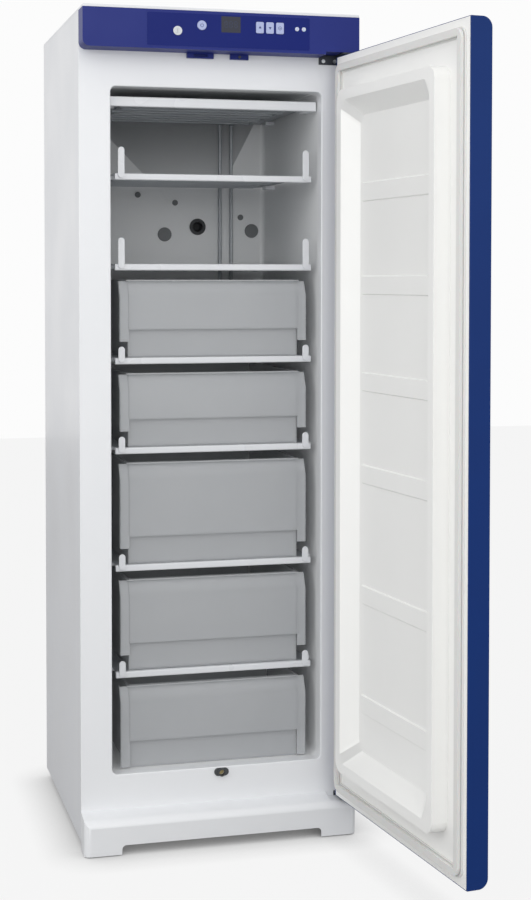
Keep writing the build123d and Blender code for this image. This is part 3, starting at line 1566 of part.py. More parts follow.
# Liner: a flat border, a raised crest with rounded corners and a ribbed panel inside it
rim_outside = rim_form(0)
rim_inside = rim_form(DOOR_LINER_WALL)
panel_half = half_opening - RIM_CLEARANCE - RIM_WIDTH - RIM_SLOPE
liner_bottom = DOOR_BOTTOM + DOOR_SKIN
liner_top = door_top - DOOR_SKIN
with BuildPart() as door_liner:
    with BuildSketch(door_face(door_inner)):
        with Locations((-hinge_x, (liner_bottom + liner_top) / 2)):
            Rectangle(skin_width, liner_top - liner_bottom)
    extrude(amount=DOOR_LINER_WALL)
    with BuildSketch(door_face(door_inner)):
        with Locations((-hinge_x, opening_middle)):
            Rectangle(
                2 * (panel_half + RIM_SLOPE),
                opening_height - 2 * (half_opening - panel_half - RIM_SLOPE),
            )
    extrude(amount=-PANEL_HEIGHT)
    add(rim_outside)
    add(rim_inside, mode=Mode.SUBTRACT)
    for level in standing_levels:
        rib_level = level - PANEL_RIB_DROP
        rib_half = panel_half - PANEL_RIB_MARGIN
        with BuildSketch(door_face(door_inner + PANEL_HEIGHT)):
            with Locations((-hinge_x, rib_level)):
                Rectangle(2 * rib_half, PANEL_RIB_WIDTH)
        with BuildSketch(door_face(door_inner + PANEL_HEIGHT + PANEL_RIB_HEIGHT)):
            with Locations((-hinge_x, rib_level)):
                Rectangle(2 * rib_half - PANEL_RIB_DRAFT, PANEL_RIB_WIDTH - PANEL_RIB_DRAFT)
        loft()
save(door_liner, "door_liner")

# Foam between the skin and the liner
foam_slab = door_bar(skin_left, skin_width, DOOR_SKIN, door_inner - DOOR_LINER_WALL)
with BuildPart() as door_foam:
    add(foam_slab)
    add(rim_inside)
    add(bush_space, mode=Mode.SUBTRACT)
    add(cup_space, mode=Mode.SUBTRACT)
save(door_foam, "door_foam")

# Bushes for the hinge pins
with BuildPart() as door_bushes:
    add(bush_space)
    rod(
        Plane.XY.offset(DOOR_BOTTOM - BUSH_FLANGE),
        (hinge_x, hinge_y),
        BUSH_FLANGE_RADIUS,
        BUSH_FLANGE,
    )
    rod(Plane.XY.offset(door_top), (hinge_x, hinge_y), BUSH_FLANGE_RADIUS, BUSH_FLANGE)
    rod(
        Plane.XY.offset(-DOOR_BOTTOM),
        (hinge_x, hinge_y),
        PIN_RADIUS + RUNNING_FIT,
        2 * CABINET_HEIGHT,
        Mode.SUBTRACT,
    )
save(door_bushes, "door_bushes")

# Grip cup in the door's front, near its free edge
with BuildPart() as grip_cup:
    add(cup_space)
    with BuildSketch(door_face(door_front)):
        with Locations((grip_u, grip_level)):
            RectangleRounded(
                GRIP_WIDTH + 2 * GRIP_WALL + 2 * GRIP_FLANGE,
                GRIP_LENGTH + 2 * GRIP_WALL + 2 * GRIP_FLANGE,
                GRIP_WIDTH / 4 + GRIP_WALL + GRIP_FLANGE,
            )
    extrude(amount=GRIP_WALL / 2)
    with BuildSketch(door_face(door_front + GRIP_DEPTH)):
        with Locations((grip_u, grip_level)):
            RectangleRounded(GRIP_WIDTH, GRIP_LENGTH, GRIP_WIDTH / 4)
    extrude(amount=2 * GRIP_DEPTH, mode=Mode.SUBTRACT)
save(grip_cup, "grip_cup")

# Gasket: a base strip, a narrow neck and a magnetic bulb, all round the door
gasket_half = half_width - GASKET_INSET
gasket_bottom = DOOR_BOTTOM + GASKET_INSET
gasket_top = door_top - GASKET_INSET
gasket_layers = (
    (0, GASKET_BASE, 0),
    (GASKET_BASE, GASKET_NECK, (GASKET_WIDTH - 2 * GASKET_NECK) / 2),
    (GASKET_NECK, GASKET_THICKNESS - SEAT_GAP, (GASKET_WIDTH - 3 * GASKET_NECK) / 2),
)
with BuildPart() as door_gasket:
    for start, end, inset in gasket_layers:
        outer_half = gasket_half - inset
        outer_tall = gasket_top - gasket_bottom - 2 * inset
        width = GASKET_WIDTH - 2 * inset
        with BuildSketch(door_face(door_inner + end)):
            with Locations((-hinge_x, (gasket_top + gasket_bottom) / 2)):
                RectangleRounded(2 * outer_half, outer_tall, GASKET_WIDTH)
                Rectangle(
                    2 * (outer_half - width),
                    outer_tall - 2 * width,
                    mode=Mode.SUBTRACT,
                )
        extrude(amount=end - start)
save(door_gasket, "door_gasket")


def drawer_outline(floor, top, front, back, wall):
    """Side outline of a drawer, drawn in by a wall: a foot that stands back, a pull ledge, an
    upright front and a sloped grip band."""
    ledge = floor + DRAWER_FOOT_HEIGHT + wall
    return (
        (front + DRAWER_FOOT_RECESS + wall, floor + wall),
        (back - wall, floor + wall),
        (back - wall, top),
        (front + DRAWER_GRIP_DEPTH + wall, top),
        (front + wall, top - DRAWER_GRIP_HEIGHT),
        (front + wall, ledge),
        (front + DRAWER_FOOT_RECESS + wall, ledge),
    )


# Drawers, from the highest down to the one on the cabinet's floor
drawer_floors = standing_levels[:DRAWER_COUNT - 1]
drawer_floors = [OPENING_BOTTOM] + drawer_floors
for number, level in enumerate(reversed(drawer_floors), start=1):
    above = min([other for other in all_levels if other > level])
    bottom = level + DRAWER_FLOOR_GAP
    top = above - DRAWER_HEADROOM
    is_lowest = level == OPENING_BOTTOM
    back_wall = step_depth if is_lowest else shelf_back
    back = back_wall - DRAWER_BACK_GAP
    with BuildPart() as drawer:
        body = drawer_outline(bottom, top, DRAWER_FRONT, back, 0)
        profile_bar(Plane.YZ.offset(-half_drawer), body, 2 * half_drawer)
        upright = drawer.edges().filter_by(Axis.Z).group_by(Axis.Y)[-1]
        fillet(upright, DRAWER_CORNER)
        block(
            Plane.XY.offset(top - DRAWER_WALL),
            (-half_drawer - DRAWER_RIM, half_drawer + DRAWER_RIM),
            (DRAWER_FRONT + DRAWER_GRIP_DEPTH - DRAWER_LIP, back + DRAWER_RIM),
            DRAWER_WALL,
        )
        hollow = drawer_outline(bottom, top, DRAWER_FRONT, back, DRAWER_WALL)
        inner_half = half_drawer - DRAWER_WALL
        profile_bar(
            Plane.YZ.offset(-inner_half),
            hollow,
            2 * inner_half,
            Mode.SUBTRACT,
        )
    save(drawer, f"drawer_{number}")
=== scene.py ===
"""Upright laboratory freezer with its door open, dressed and lit for its picture.

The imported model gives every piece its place. This script gives the pieces their finishes, rounds
their edges, adds the small parts that are too fine for the solids, and sets the lights and camera.
"""

import json
import logging
import math
from collections.abc import Callable
from dataclasses import dataclass, field
from enum import Enum

import bpy
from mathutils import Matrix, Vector

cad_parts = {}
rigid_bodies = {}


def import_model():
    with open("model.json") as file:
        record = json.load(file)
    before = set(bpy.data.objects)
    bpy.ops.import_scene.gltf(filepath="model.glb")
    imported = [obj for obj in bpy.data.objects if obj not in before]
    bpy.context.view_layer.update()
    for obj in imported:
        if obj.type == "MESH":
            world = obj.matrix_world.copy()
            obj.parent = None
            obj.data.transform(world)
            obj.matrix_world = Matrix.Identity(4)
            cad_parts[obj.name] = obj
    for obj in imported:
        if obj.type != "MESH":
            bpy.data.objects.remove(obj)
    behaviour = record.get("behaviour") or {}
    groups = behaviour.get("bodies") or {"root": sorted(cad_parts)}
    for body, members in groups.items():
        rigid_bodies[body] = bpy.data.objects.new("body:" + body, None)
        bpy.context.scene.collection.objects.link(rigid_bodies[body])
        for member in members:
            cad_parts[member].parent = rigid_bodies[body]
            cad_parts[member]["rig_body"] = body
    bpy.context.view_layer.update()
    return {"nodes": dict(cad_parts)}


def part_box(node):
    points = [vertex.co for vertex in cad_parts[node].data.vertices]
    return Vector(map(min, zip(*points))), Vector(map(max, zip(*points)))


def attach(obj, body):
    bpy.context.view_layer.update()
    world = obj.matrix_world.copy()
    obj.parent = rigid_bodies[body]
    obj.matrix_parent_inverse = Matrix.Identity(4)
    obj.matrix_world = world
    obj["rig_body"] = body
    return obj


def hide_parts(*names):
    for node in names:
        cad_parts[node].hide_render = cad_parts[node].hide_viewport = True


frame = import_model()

log = logging.getLogger("freezer")

Point = tuple[float, float, float]

MM = 0.001
PHOTO_WIDTH_PX = 531
PHOTO_HEIGHT_PX = 900

# How a copied solid is cleaned: points closer than this merge, faces flatter than this join.
MERGE_MM = 0.002
FLAT_DEGREES = 0.5
# How near to a plane a point or face counts as lying in it.
NEAR_MM = 0.1
# Edges sharper than this are rounded, and edges sharper than the next stay crisp when shaded.
ROUNDED_DEGREES = 35.0
CRISP_DEGREES = 32.0
# How much a large face outweighs a narrow rounding in the shading of their shared edge.
FACE_WEIGHT = 80

# Values that all materials share.
COAT_ROUGHNESS = 0.12
BUMP_STRENGTH = 0.6
SCATTER_DEPTH_MM = 4.0
DRAWN_STRETCH = 40.0


# Colours and shader nodes


def linear(hex_colour: str, alpha: float = 1.0) -> tuple[float, float, float, float]:
    """Turn an sRGB hex colour into linear values.

    Args:
        hex_colour: Six hex digits, red first.
        alpha: Opacity, passed through.

    Returns:
        Red, green, blue and alpha for a shader socket.
    """
    channels = []
    for start in (0, 2, 4):
        value = int(hex_colour[start:start + 2], 16) / 255
        channels.append(value / 12.92 if value <= 0.04045 else ((value + 0.055) / 1.055) ** 2.4)
    return (channels[0], channels[1], channels[2], alpha)


def add_node(
    tree: bpy.types.NodeTree,
    kind: str,
    values: dict | None = None,
    links: dict | None = None,
    **attributes: object,
) -> bpy.types.Node:
    """Add one shader node.

    Args:
        tree: The tree that the node joins.
        kind: Blender's name of the node's type.
        values: Input name or index to the value it gets.
        links: Input name or index to the socket that feeds it.
        **attributes: Settings of the node itself.

    Returns:
        The new node.
    """
    node = tree.nodes.new(kind)
    for name, value in attributes.items():
        setattr(node, name, value)
    for name, value in (values or {}).items():
        node.inputs[name].default_value = value
    for name, socket in (links or {}).items():
        tree.links.new(socket, node.inputs[name])
    return node


class Pattern(Enum):
    """How a surface was made, which sets the relief that it shows."""

    PEEL = "sprayed or powder coated"
    MOULDED = "moulded against a finely textured tool"
    DRAWN = "rolled or brushed along one direction"
    CELLS = "foamed"


@dataclass(frozen=True)
class Finish:
    """One real material with its surface.

    Attributes:
        name: Common name of the material and how it was finished.
        colour: sRGB hex of the clean surface.
        shade: sRGB hex that large soft patches lean to, as paint and plastic do.
        roughness: Roughness of the surface.
        roughness_spread: How far the roughness varies over the surface.
        metallic: 1 for bare metal.
        ior: Index of refraction, left at its default on metal.
        coat: Weight of a clear coat.
        sheen: Weight of a soft sheen.
        transmission: Share of light that passes.
        opacity: Share of the sheet that isn't see-through.
        subsurface: Share of light scattered inside.
        pattern: Relief of the surface.
        grain_mm: Size of the relief's features.
        depth_mm: Depth of the relief.
        patch_mm: Size of the soft patches of colour.
        axis: For a drawn surface, the axis that its lines follow.
    """

    name: str
    colour: str
    shade: str
    roughness: float = 0.4
    roughness_spread: float = 0.06
    metallic: float = 0.0
    ior: float = 1.5
    coat: float = 0.0
    sheen: float = 0.0
    transmission: float = 0.0
    opacity: float = 1.0
    subsurface: float = 0.0
    pattern: Pattern = Pattern.PEEL
    grain_mm: float = 3.0
    depth_mm: float = 0.02
    patch_mm: float = 180.0
    axis: int = 2

    def scale(self, size_mm: float) -> tuple[float, float, float]:
        """Return the coordinates' scale for a feature of that size, stretched when drawn."""
        base = 1.0 / (size_mm * MM)
        if self.pattern is not Pattern.DRAWN:
            return (base, base, base)
        stretched = [base, base, base]
        stretched[self.axis] = base / DRAWN_STRETCH
        return (stretched[0], stretched[1], stretched[2])

    def material(self) -> bpy.types.Material:
        """Build the material once and return it.

        Returns:
            The material, shared by every piece with this finish.
        """
        known = bpy.data.materials.get(self.name)
        if known is not None:
            return known
        material = bpy.data.materials.new(self.name)
        material.use_nodes = True
        tree = material.node_tree
        tree.nodes.clear()
        output = add_node(tree, "ShaderNodeOutputMaterial")
        place = add_node(tree, "ShaderNodeTexCoord")
        patch_place = add_node(
            tree,
            "ShaderNodeMapping",
            {"Scale": self.scale(self.patch_mm)},
            {"Vector": place.outputs["Object"]},
        )
        patch = add_node(
            tree,
            "ShaderNodeTexNoise",
            {"Scale": 1.0, "Detail": 3.0, "Roughness": 0.5},
            {"Vector": patch_place.outputs["Vector"]},
        )
        tone = add_node(
            tree,
            "ShaderNodeMix",
            {6: linear(self.colour), 7: linear(self.shade)},
            {0: patch.outputs["Fac"]},
            data_type="RGBA",
        )
        low = max(0.02, self.roughness - self.roughness_spread)
        high = min(1.0, self.roughness + self.roughness_spread)
        polish = add_node(
            tree,
            "ShaderNodeMapRange",
            {"From Min": 0.3, "From Max": 0.7, "To Min": low, "To Max": high},
            {"Value": patch.outputs["Fac"]},
        )
        grain_place = add_node(
            tree,
            "ShaderNodeMapping",
            {"Scale": self.scale(self.grain_mm)},
            {"Vector": place.outputs["Object"]},
        )
        if self.pattern is Pattern.CELLS:
            relief = add_node(
                tree,
                "ShaderNodeTexVoronoi",
                {"Scale": 1.0},
                {"Vector": grain_place.outputs["Vector"]},
            )
            height = relief.outputs["Distance"]
        else:
            detail = 4.0 if self.pattern is Pattern.MOULDED else 1.0
            relief = add_node(
                tree,
                "ShaderNodeTexNoise",
                {"Scale": 1.0, "Detail": detail, "Roughness": 0.55},
                {"Vector": grain_place.outputs["Vector"]},
            )
            height = relief.outputs["Fac"]
        bump = add_node(
            tree,
            "ShaderNodeBump",
            {"Strength": BUMP_STRENGTH, "Distance": self.depth_mm * MM},
            {"Height": height},
        )
        values = {
            "Metallic": self.metallic,
            "Coat Weight": self.coat,
            "Coat Roughness": COAT_ROUGHNESS,
            "Sheen Weight": self.sheen,
            "Transmission Weight": self.transmission,
            "Alpha": self.opacity,
            "Subsurface Weight": self.subsurface,
            "Subsurface Scale": SCATTER_DEPTH_MM * MM,
        }
        if self.metallic == 0.0:
            values["IOR"] = self.ior
        surface = add_node(
            tree,
            "ShaderNodeBsdfPrincipled",
            values,
            {
                "Base Color": tone.outputs[2],
                "Roughness": polish.outputs["Result"],
                "Normal": bump.outputs["Normal"],
            },
        )
        tree.links.new(surface.outputs["BSDF"], output.inputs["Surface"])
        return material


# Polyester powder coat on steel sheet: even, softly glossy, with a faint orange peel.
CABINET_PAINT = Finish(
    "powder_coated_steel_white", "e6e7ea", "dfe1e5", roughness=0.38, coat=0.15, grain_mm=4.0
)
# The same coat, painted lighter round the mouth and on the plinth as painted light, where they lie
# in the brightest light.
FRAME_PAINT_PAINTED_LIGHT = Finish(
    "powder_coated_steel_white_painted_light", "eff0f2", "e9ebee", roughness=0.36, coat=0.15, grain_mm=4.0
)
# Deep blue gloss powder coat on the door's sheet.
DOOR_PAINT = Finish(
    "powder_coated_steel_blue", "033074", "022a68", roughness=0.42, ior=1.35, grain_mm=4.0
)
# Blue ABS mouldings, a touch more violet than the painted sheet.
HEADER_ABS = Finish(
    "moulded_abs_blue",
    "18287a",
    "142371",
    roughness=0.46,
    ior=1.36,
    pattern=Pattern.MOULDED,
    grain_mm=2.0,
    depth_mm=0.01,
)
EDGE_ABS = Finish(
    "moulded_abs_deep_blue",
    "033074",
    "022a68",
    roughness=0.46,
    ior=1.34,
    pattern=Pattern.MOULDED,
    grain_mm=2.0,
    depth_mm=0.01,
)
# Polyester film over the control fascia: darker and smoother than the housing.
FASCIA_FILM = Finish(
    "polyester_film_blue",
    "061c70",
    "041866",
    roughness=0.4,
    ior=1.28,
    pattern=Pattern.MOULDED,
    grain_mm=1.5,
    depth_mm=0.006,
)
# Smoked acrylic window over the display.
DISPLAY_ACRYLIC = Finish(
    "acrylic_smoked", "161c33", "12172a", roughness=0.12, ior=1.49, coat=0.4, depth_mm=0.003
)
# Clear pale lenses over the lamps.
LAMP_ACRYLIC = Finish(
    "acrylic_milky", "cfd6e6", "c2cbe0", roughness=0.2, ior=1.49, subsurface=0.3, depth_mm=0.004
)
# Pale keys with a fine texture.
KEY_PLASTIC = Finish(
    "moulded_polycarbonate_pale_blue",
    "aeb8dc",
    "a3aed6",
    roughness=0.42,
    ior=1.58,
    pattern=Pattern.MOULDED,
    grain_mm=1.2,
    depth_mm=0.01,
)
# Vacuum formed polystyrene of the cabinet's liner: satin white with soft waves.
LINER_STYRENE = Finish(
    "formed_polystyrene_white",
    "eff0f1",
    "e9ebec",
    roughness=0.42,
    ior=1.59,
    pattern=Pattern.MOULDED,
    grain_mm=6.0,
    depth_mm=0.03,
)
# The same sheet on the door, painted lighter than the liner as painted light, for its place in
# full light.
DOOR_STYRENE_PAINTED_LIGHT = Finish(
    "formed_polystyrene_white_painted_light",
    "f8f8f6",
    "f4f4f2",
    roughness=0.4,
    ior=1.59,
    pattern=Pattern.MOULDED,
    grain_mm=6.0,
    depth_mm=0.03,
)
# Bright white trims along the shelves.
TRIM_STYRENE = Finish(
    "moulded_styrene_trim_white",
    "e2e4e7",
    "d9dbdf",
    roughness=0.3,
    ior=1.59,
    pattern=Pattern.MOULDED,
    grain_mm=2.0,
    depth_mm=0.01,
)
# Clear styrene of the drawers, tinted grey and slightly hazy.
DRAWER_STYRENE = Finish(
    "moulded_styrene_smoke",
    "d3d5d8",
    "cbced1",
    roughness=0.36,
    roughness_spread=0.04,
    ior=1.45,
    opacity=0.5,
    pattern=Pattern.MOULDED,
    grain_mm=3.0,
    depth_mm=0.01,
)
# Lacquered aluminium evaporator plates.
EVAPORATOR_METAL = Finish(
    "lacquered_aluminium",
    "b4b8bc",
    "abafb4",
    roughness=0.46,
    metallic=0.5,
    pattern=Pattern.DRAWN,
    grain_mm=1.5,
    depth_mm=0.01,
    axis=0,
)
# Zinc plated steel of pins, tray and screws.
ZINC_STEEL = Finish(
    "zinc_plated_steel",
    "b9bcbf",
    "adb0b4",
    roughness=0.34,
    metallic=1.0,
    pattern=Pattern.DRAWN,
    grain_mm=1.0,
    depth_mm=0.008,
    axis=0,
)
# Dark coated steel of the hinges.
HINGE_STEEL = Finish(
    "coated_steel_graphite", "262b36", "1f242e", roughness=0.42, coat=0.1, grain_mm=2.0
)
# Soft PVC of the magnetic gasket.
GASKET_PVC = Finish(
    "extruded_pvc_white",
    "e4e4e2",
    "dadad8",
    roughness=0.55,
    ior=1.53,
    sheen=0.1,
    subsurface=0.1,
    pattern=Pattern.DRAWN,
    grain_mm=2.0,
    depth_mm=0.02,
)
# Black moulded plastic of small fittings.
BLACK_NYLON = Finish(
    "moulded_nylon_black",
    "1d2024",
    "25282d",
    roughness=0.5,
    ior=1.53,
    pattern=Pattern.MOULDED,
    grain_mm=1.2,
    depth_mm=0.015,
)
GREY_NYLON = Finish(
    "moulded_nylon_grey",
    "4a4c4e",
    "3f4143",
    roughness=0.5,
    ior=1.53,
    pattern=Pattern.MOULDED,
    grain_mm=1.2,
    depth_mm=0.015,
)
# Pale plugs and caps on the back wall, a little darker than the liner.
PLUG_NYLON = Finish(
    "moulded_nylon_pale_grey",
    "7a7d7f",
    "707375",
    roughness=0.5,
    ior=1.53,
    pattern=Pattern.MOULDED,
    grain_mm=1.2,
    depth_mm=0.015,
)
# Black enamel of the compressor and the condenser.
BLACK_ENAMEL = Finish(
    "black_enamelled_steel",
    "17191b",
    "1f2123",
    roughness=0.3,
    coat=0.3,
    grain_mm=2.5,
    depth_mm=0.03,
)
# Moulded rubber of the compressor's mounts.
MOUNT_RUBBER = Finish(
    "moulded_rubber_black",
    "232426",
    "2b2c2f",
    roughness=0.75,
    ior=1.52,
    pattern=Pattern.MOULDED,
    grain_mm=1.0,
    depth_mm=0.03,
)
# Bare copper tube, dulled by handling.
COPPER_TUBE = Finish(
    "copper_tube_dull",
    "b9744c",
    "8c5637",
    roughness=0.36,
    metallic=1.0,
    pattern=Pattern.DRAWN,
    grain_mm=0.8,
    depth_mm=0.006,
    patch_mm=30.0,
)
# Rigid polyurethane foam behind the liners.
FOAM = Finish(
    "rigid_polyurethane_foam",
    "d8c894",
    "c9b781",
    roughness=0.9,
    pattern=Pattern.CELLS,
    grain_mm=1.5,
    depth_mm=0.4,
)
# Ink of the key symbols, and the unlit segments behind the display's window.
SYMBOL_INK = Finish(
    "screen_ink_deep_blue",
    "1b2c74",
    "17276a",
    roughness=0.5,
    pattern=Pattern.MOULDED,
    grain_mm=0.6,
    depth_mm=0.004,
)
UNLIT_SEGMENT = Finish(
    "acrylic_segment_unlit",
    "303a5c",
    "2a3452",
    roughness=0.25,
    ior=1.49,
    pattern=Pattern.MOULDED,
    grain_mm=0.8,
    depth_mm=0.003,
)
# Green laminate of the control board.
BOARD_LAMINATE = Finish(
    "glass_epoxy_laminate_green",
    "2c6a45",
    "245a3a",
    roughness=0.35,
    pattern=Pattern.MOULDED,
    grain_mm=0.8,
    depth_mm=0.01,
)

CAD_FINISHES: dict[str, Finish] = {
    "side_panel_left": CABINET_PAINT,
    "side_panel_right": CABINET_PAINT,
    "back_panel": CABINET_PAINT,
    "top_cover": CABINET_PAINT,
    "insulation": FOAM,
    "inner_liner": LINER_STYRENE,
    "front_frame": FRAME_PAINT_PAINTED_LIGHT,
    "base_frame": ZINC_STEEL,
    "plinth": FRAME_PAINT_PAINTED_LIGHT,
    "header_housing": HEADER_ABS,
    "control_fascia": FASCIA_FILM,
    "display_window": DISPLAY_ACRYLIC,
    "indicator_lamps": LAMP_ACRYLIC,
    "control_board": BOARD_LAMINATE,
    "key_barrel": ZINC_STEEL,
    "key_switch": ZINC_STEEL,
    "lock_keeper": HEADER_ABS,
    "door_switch": HEADER_ABS,
    "switch_plunger": GREY_NYLON,
    "upper_hinge": HINGE_STEEL,
    "lower_hinge": HINGE_STEEL,
    "hinge_pins": ZINC_STEEL,
    "hinge_screws": ZINC_STEEL,
    "evaporator_shelves": EVAPORATOR_METAL,
    "riser_tubes": EVAPORATOR_METAL,
    "shelf_trims": TRIM_STYRENE,
    "shelf_brackets": TRIM_STYRENE,
    "access_port": BLACK_NYLON,
    "wall_plugs": PLUG_NYLON,
    "drain_spout": GREY_NYLON,
    "compressor": BLACK_ENAMEL,
    "compressor_mounts": MOUNT_RUBBER,
    "start_relay": BLACK_NYLON,
    "condenser": BLACK_ENAMEL,
    "filter_drier": COPPER_TUBE,
    "refrigerant_pipes": COPPER_TUBE,
    "drip_tray": BLACK_NYLON,
    "cable_gland": BLACK_NYLON,
    "roller_axles": ZINC_STEEL,
    "door_skin": DOOR_PAINT,
    "door_edge_free": EDGE_ABS,
    "door_edge_hinge": EDGE_ABS,
    "door_foam": FOAM,
    "door_liner": DOOR_STYRENE_PAINTED_LIGHT,
    "door_gasket": GASKET_PVC,
    "door_bushes": BLACK_NYLON,
    "grip_cup": EDGE_ABS,
    "drawer_1": DRAWER_STYRENE,
    "drawer_2": DRAWER_STYRENE,
    "drawer_3": DRAWER_STYRENE,
    "drawer_4": DRAWER_STYRENE,
    "drawer_5": DRAWER_STYRENE,
    "power_button": KEY_PLASTIC,
    "button_1": KEY_PLASTIC,
    "button_2": KEY_PLASTIC,
    "button_3": KEY_PLASTIC,
    "foot_left": BLACK_NYLON,
    "foot_right": BLACK_NYLON,
    "roller_left": BLACK_NYLON,
    "roller_right": BLACK_NYLON,
}

# Width of the rounded edge that each visible piece gets, in millimetres.
EDGE_ROUNDS_MM: dict[str, float] = {
    "side_panel_left": 1.0,
    "side_panel_right": 1.0,
    "top_cover": 0.8,
    "front_frame": 0.5,
    "plinth": 1.6,
    "header_housing": 1.2,
    "control_fascia": 0.25,
    "indicator_lamps": 0.0,
    "key_barrel": 0.3,
    "key_switch": 0.2,
    "lock_keeper": 0.6,
    "door_switch": 0.6,
    "switch_plunger": 0.0,
    "upper_hinge": 0.6,
    "lower_hinge": 0.6,
    "hinge_pins": 0.3,
    "inner_liner": 0.0,
    "shelf_trims": 0.5,
    "shelf_brackets": 0.8,
    "access_port": 0.5,
    "wall_plugs": 0.3,
    "drain_spout": 0.5,
    "compressor": 1.0,
    "compressor_mounts": 1.0,
    "start_relay": 1.5,
    "filter_drier": 0.0,
    "refrigerant_pipes": 0.0,
    "drip_tray": 0.5,
    "door_skin": 0.0,
    "door_edge_free": 0.8,
    "door_edge_hinge": 0.8,
    "door_liner": 1.5,
    "door_gasket": 1.0,
    "door_bushes": 0.3,
    "grip_cup": 0.6,
    "drawer_1": 0.7,
    "drawer_2": 0.7,
    "drawer_3": 0.7,
    "drawer_4": 0.7,
    "drawer_5": 0.7,
    "power_button": 0.3,
    "button_1": 0.3,
    "button_2": 0.3,
    "button_3": 0.3,
    "foot_left": 0.5,
    "foot_right": 0.5,
    "roller_left": 0.8,
    "roller_right": 0.8,
}


class Workshop:
    """The operators that shape a piece, with the selection kept clean."""

    @staticmethod
    def clear_selection() -> None:
        """Leave nothing selected."""
        if bpy.context.object is not None and bpy.context.object.mode != "OBJECT":
            bpy.ops.object.mode_set(mode="OBJECT")
        bpy.ops.object.select_all(action="DESELECT")

    @staticmethod
    def activate(piece: bpy.types.Object) -> None:
        """Select one piece alone and make it active."""
        Workshop.clear_selection()
        piece.select_set(True)
        bpy.context.view_layer.objects.active = piece

    @staticmethod
    def settle(piece: bpy.types.Object, name: str) -> bpy.types.Object:
        """Name a piece and move its place into its mesh."""
        piece.name = name
        piece.data.name = name
        Workshop.activate(piece)
        bpy.ops.object.transform_apply(location=True, rotation=True, scale=True)
        return piece

    @staticmethod
    def apply_modifier(piece: bpy.types.Object, kind: str, **settings: object) -> None:
        """Add a modifier to a piece and apply it.

        Args:
            piece: The piece.
            kind: Blender's name of the modifier's type.
            **settings: Settings of the modifier.
        """
        Workshop.activate(piece)
        modifier = piece.modifiers.new(kind.lower(), kind)
        for name, value in settings.items():
            setattr(modifier, name, value)
        bpy.ops.object.modifier_apply(modifier=modifier.name)

    @staticmethod
    def round_edges(piece: bpy.types.Object, width_mm: float) -> None:
        """Round the sharper edges of a piece.

        Args:
            piece: The piece.
            width_mm: Width of the rounding, in millimetres.
        """
        Workshop.apply_modifier(
            piece,
            "BEVEL",
            width=width_mm * MM,
            segments=2,
            limit_method="ANGLE",
            angle_limit=math.radians(ROUNDED_DEGREES),
        )

    @staticmethod
    def smooth(piece: bpy.types.Object, degrees: float = CRISP_DEGREES) -> None:
        """Shade a piece smooth, with its sharper edges and its flat faces kept."""
        Workshop.activate(piece)
        bpy.ops.object.shade_smooth_by_angle(angle=math.radians(degrees))
        Workshop.apply_modifier(piece, "WEIGHTED_NORMAL", weight=FACE_WEIGHT, keep_sharp=True)

    @staticmethod
    def copy_of_node(node: str, round_mm: float) -> bpy.types.Object:
        """Make a merged copy of a CAD node, with rounded edges, that stands for it.

        Args:
            node: Name of the node.
            round_mm: Width of the rounding, or 0 for smooth shading alone.

        Returns:
            The copy, which rides on the node's body.
        """
        source = frame["nodes"][node]
        mesh = source.data.copy()
        piece = bpy.data.objects.new(f"{node}_finished", mesh)
        bpy.context.scene.collection.objects.link(piece)
        Workshop.activate(piece)
        bpy.ops.object.mode_set(mode="EDIT")
        bpy.ops.mesh.select_all(action="SELECT")
        bpy.ops.mesh.remove_doubles(threshold=MERGE_MM * MM)
        bpy.ops.mesh.dissolve_limited(angle_limit=math.radians(FLAT_DEGREES))
        bpy.ops.object.mode_set(mode="OBJECT")
        if round_mm > 0.0:
            Workshop.round_edges(piece, round_mm)
        Workshop.smooth(piece)
        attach(piece, source["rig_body"])
        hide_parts(node)
        return piece

    @staticmethod
    def select_faces(
        piece: bpy.types.Object, wanted: Callable[[bpy.types.MeshPolygon], bool]
    ) -> None:
        """Select the faces of a piece that a test picks, and leave it in edit mode."""
        Workshop.activate(piece)
        bpy.ops.object.mode_set(mode="EDIT")
        bpy.ops.mesh.select_all(action="DESELECT")
        bpy.ops.object.mode_set(mode="OBJECT")
        for face in piece.data.polygons:
            face.select = wanted(face)
        bpy.ops.object.mode_set(mode="EDIT")

    @staticmethod
    def block(name: str, low: Point, high: Point, round_mm: float = 0.0) -> bpy.types.Object:
        """Add a block between two corners.

        Args:
            name: Name of the piece.
            low: Lowest corner, in millimetres.
            high: Highest corner, in millimetres.
            round_mm: Width of the rounding on its edges, or 0 where it is shaped further.

        Returns:
            The block.
        """
        Workshop.clear_selection()
        bpy.ops.mesh.primitive_cube_add(
            size=1.0,
            location=[(a + b) / 2 * MM for a, b in zip(low, high)],
            scale=[(b - a) * MM for a, b in zip(low, high)],
        )
        piece = Workshop.settle(bpy.context.object, name)
        if round_mm > 0.0:
            Workshop.round_edges(piece, round_mm)
        return piece

    @staticmethod
    def disc(
        name: str, centre: Point, radius: float, depth: float, sides: int, round_mm: float
    ) -> bpy.types.Object:
        """Add a disc or prism that faces the front, with its rims rounded.

        Args:
            name: Name of the piece.
            centre: Its centre, in millimetres.
            radius: Its radius.
            depth: Its thickness from front to back.
            sides: How many sides it has.
            round_mm: Width of the rounding on its rims.

        Returns:
            The disc.
        """
        Workshop.clear_selection()
        bpy.ops.mesh.primitive_cylinder_add(
            vertices=sides,
            radius=radius * MM,
            depth=depth * MM,
            location=[value * MM for value in centre],
            rotation=(math.radians(90.0), 0.0, 0.0),
        )
        piece = Workshop.settle(bpy.context.object, name)
        Workshop.round_edges(piece, round_mm)
        return piece

    @staticmethod
    def ring(name: str, centre: Point, radius: float, thickness: float) -> bpy.types.Object:
        """Add a round ring that faces the front, all in millimetres."""
        Workshop.clear_selection()
        bpy.ops.mesh.primitive_torus_add(
            major_segments=40,
            minor_segments=10,
            major_radius=radius * MM,
            minor_radius=thickness / 2 * MM,
            location=[value * MM for value in centre],
            rotation=(math.radians(90.0), 0.0, 0.0),
        )
        return Workshop.settle(bpy.context.object, name)

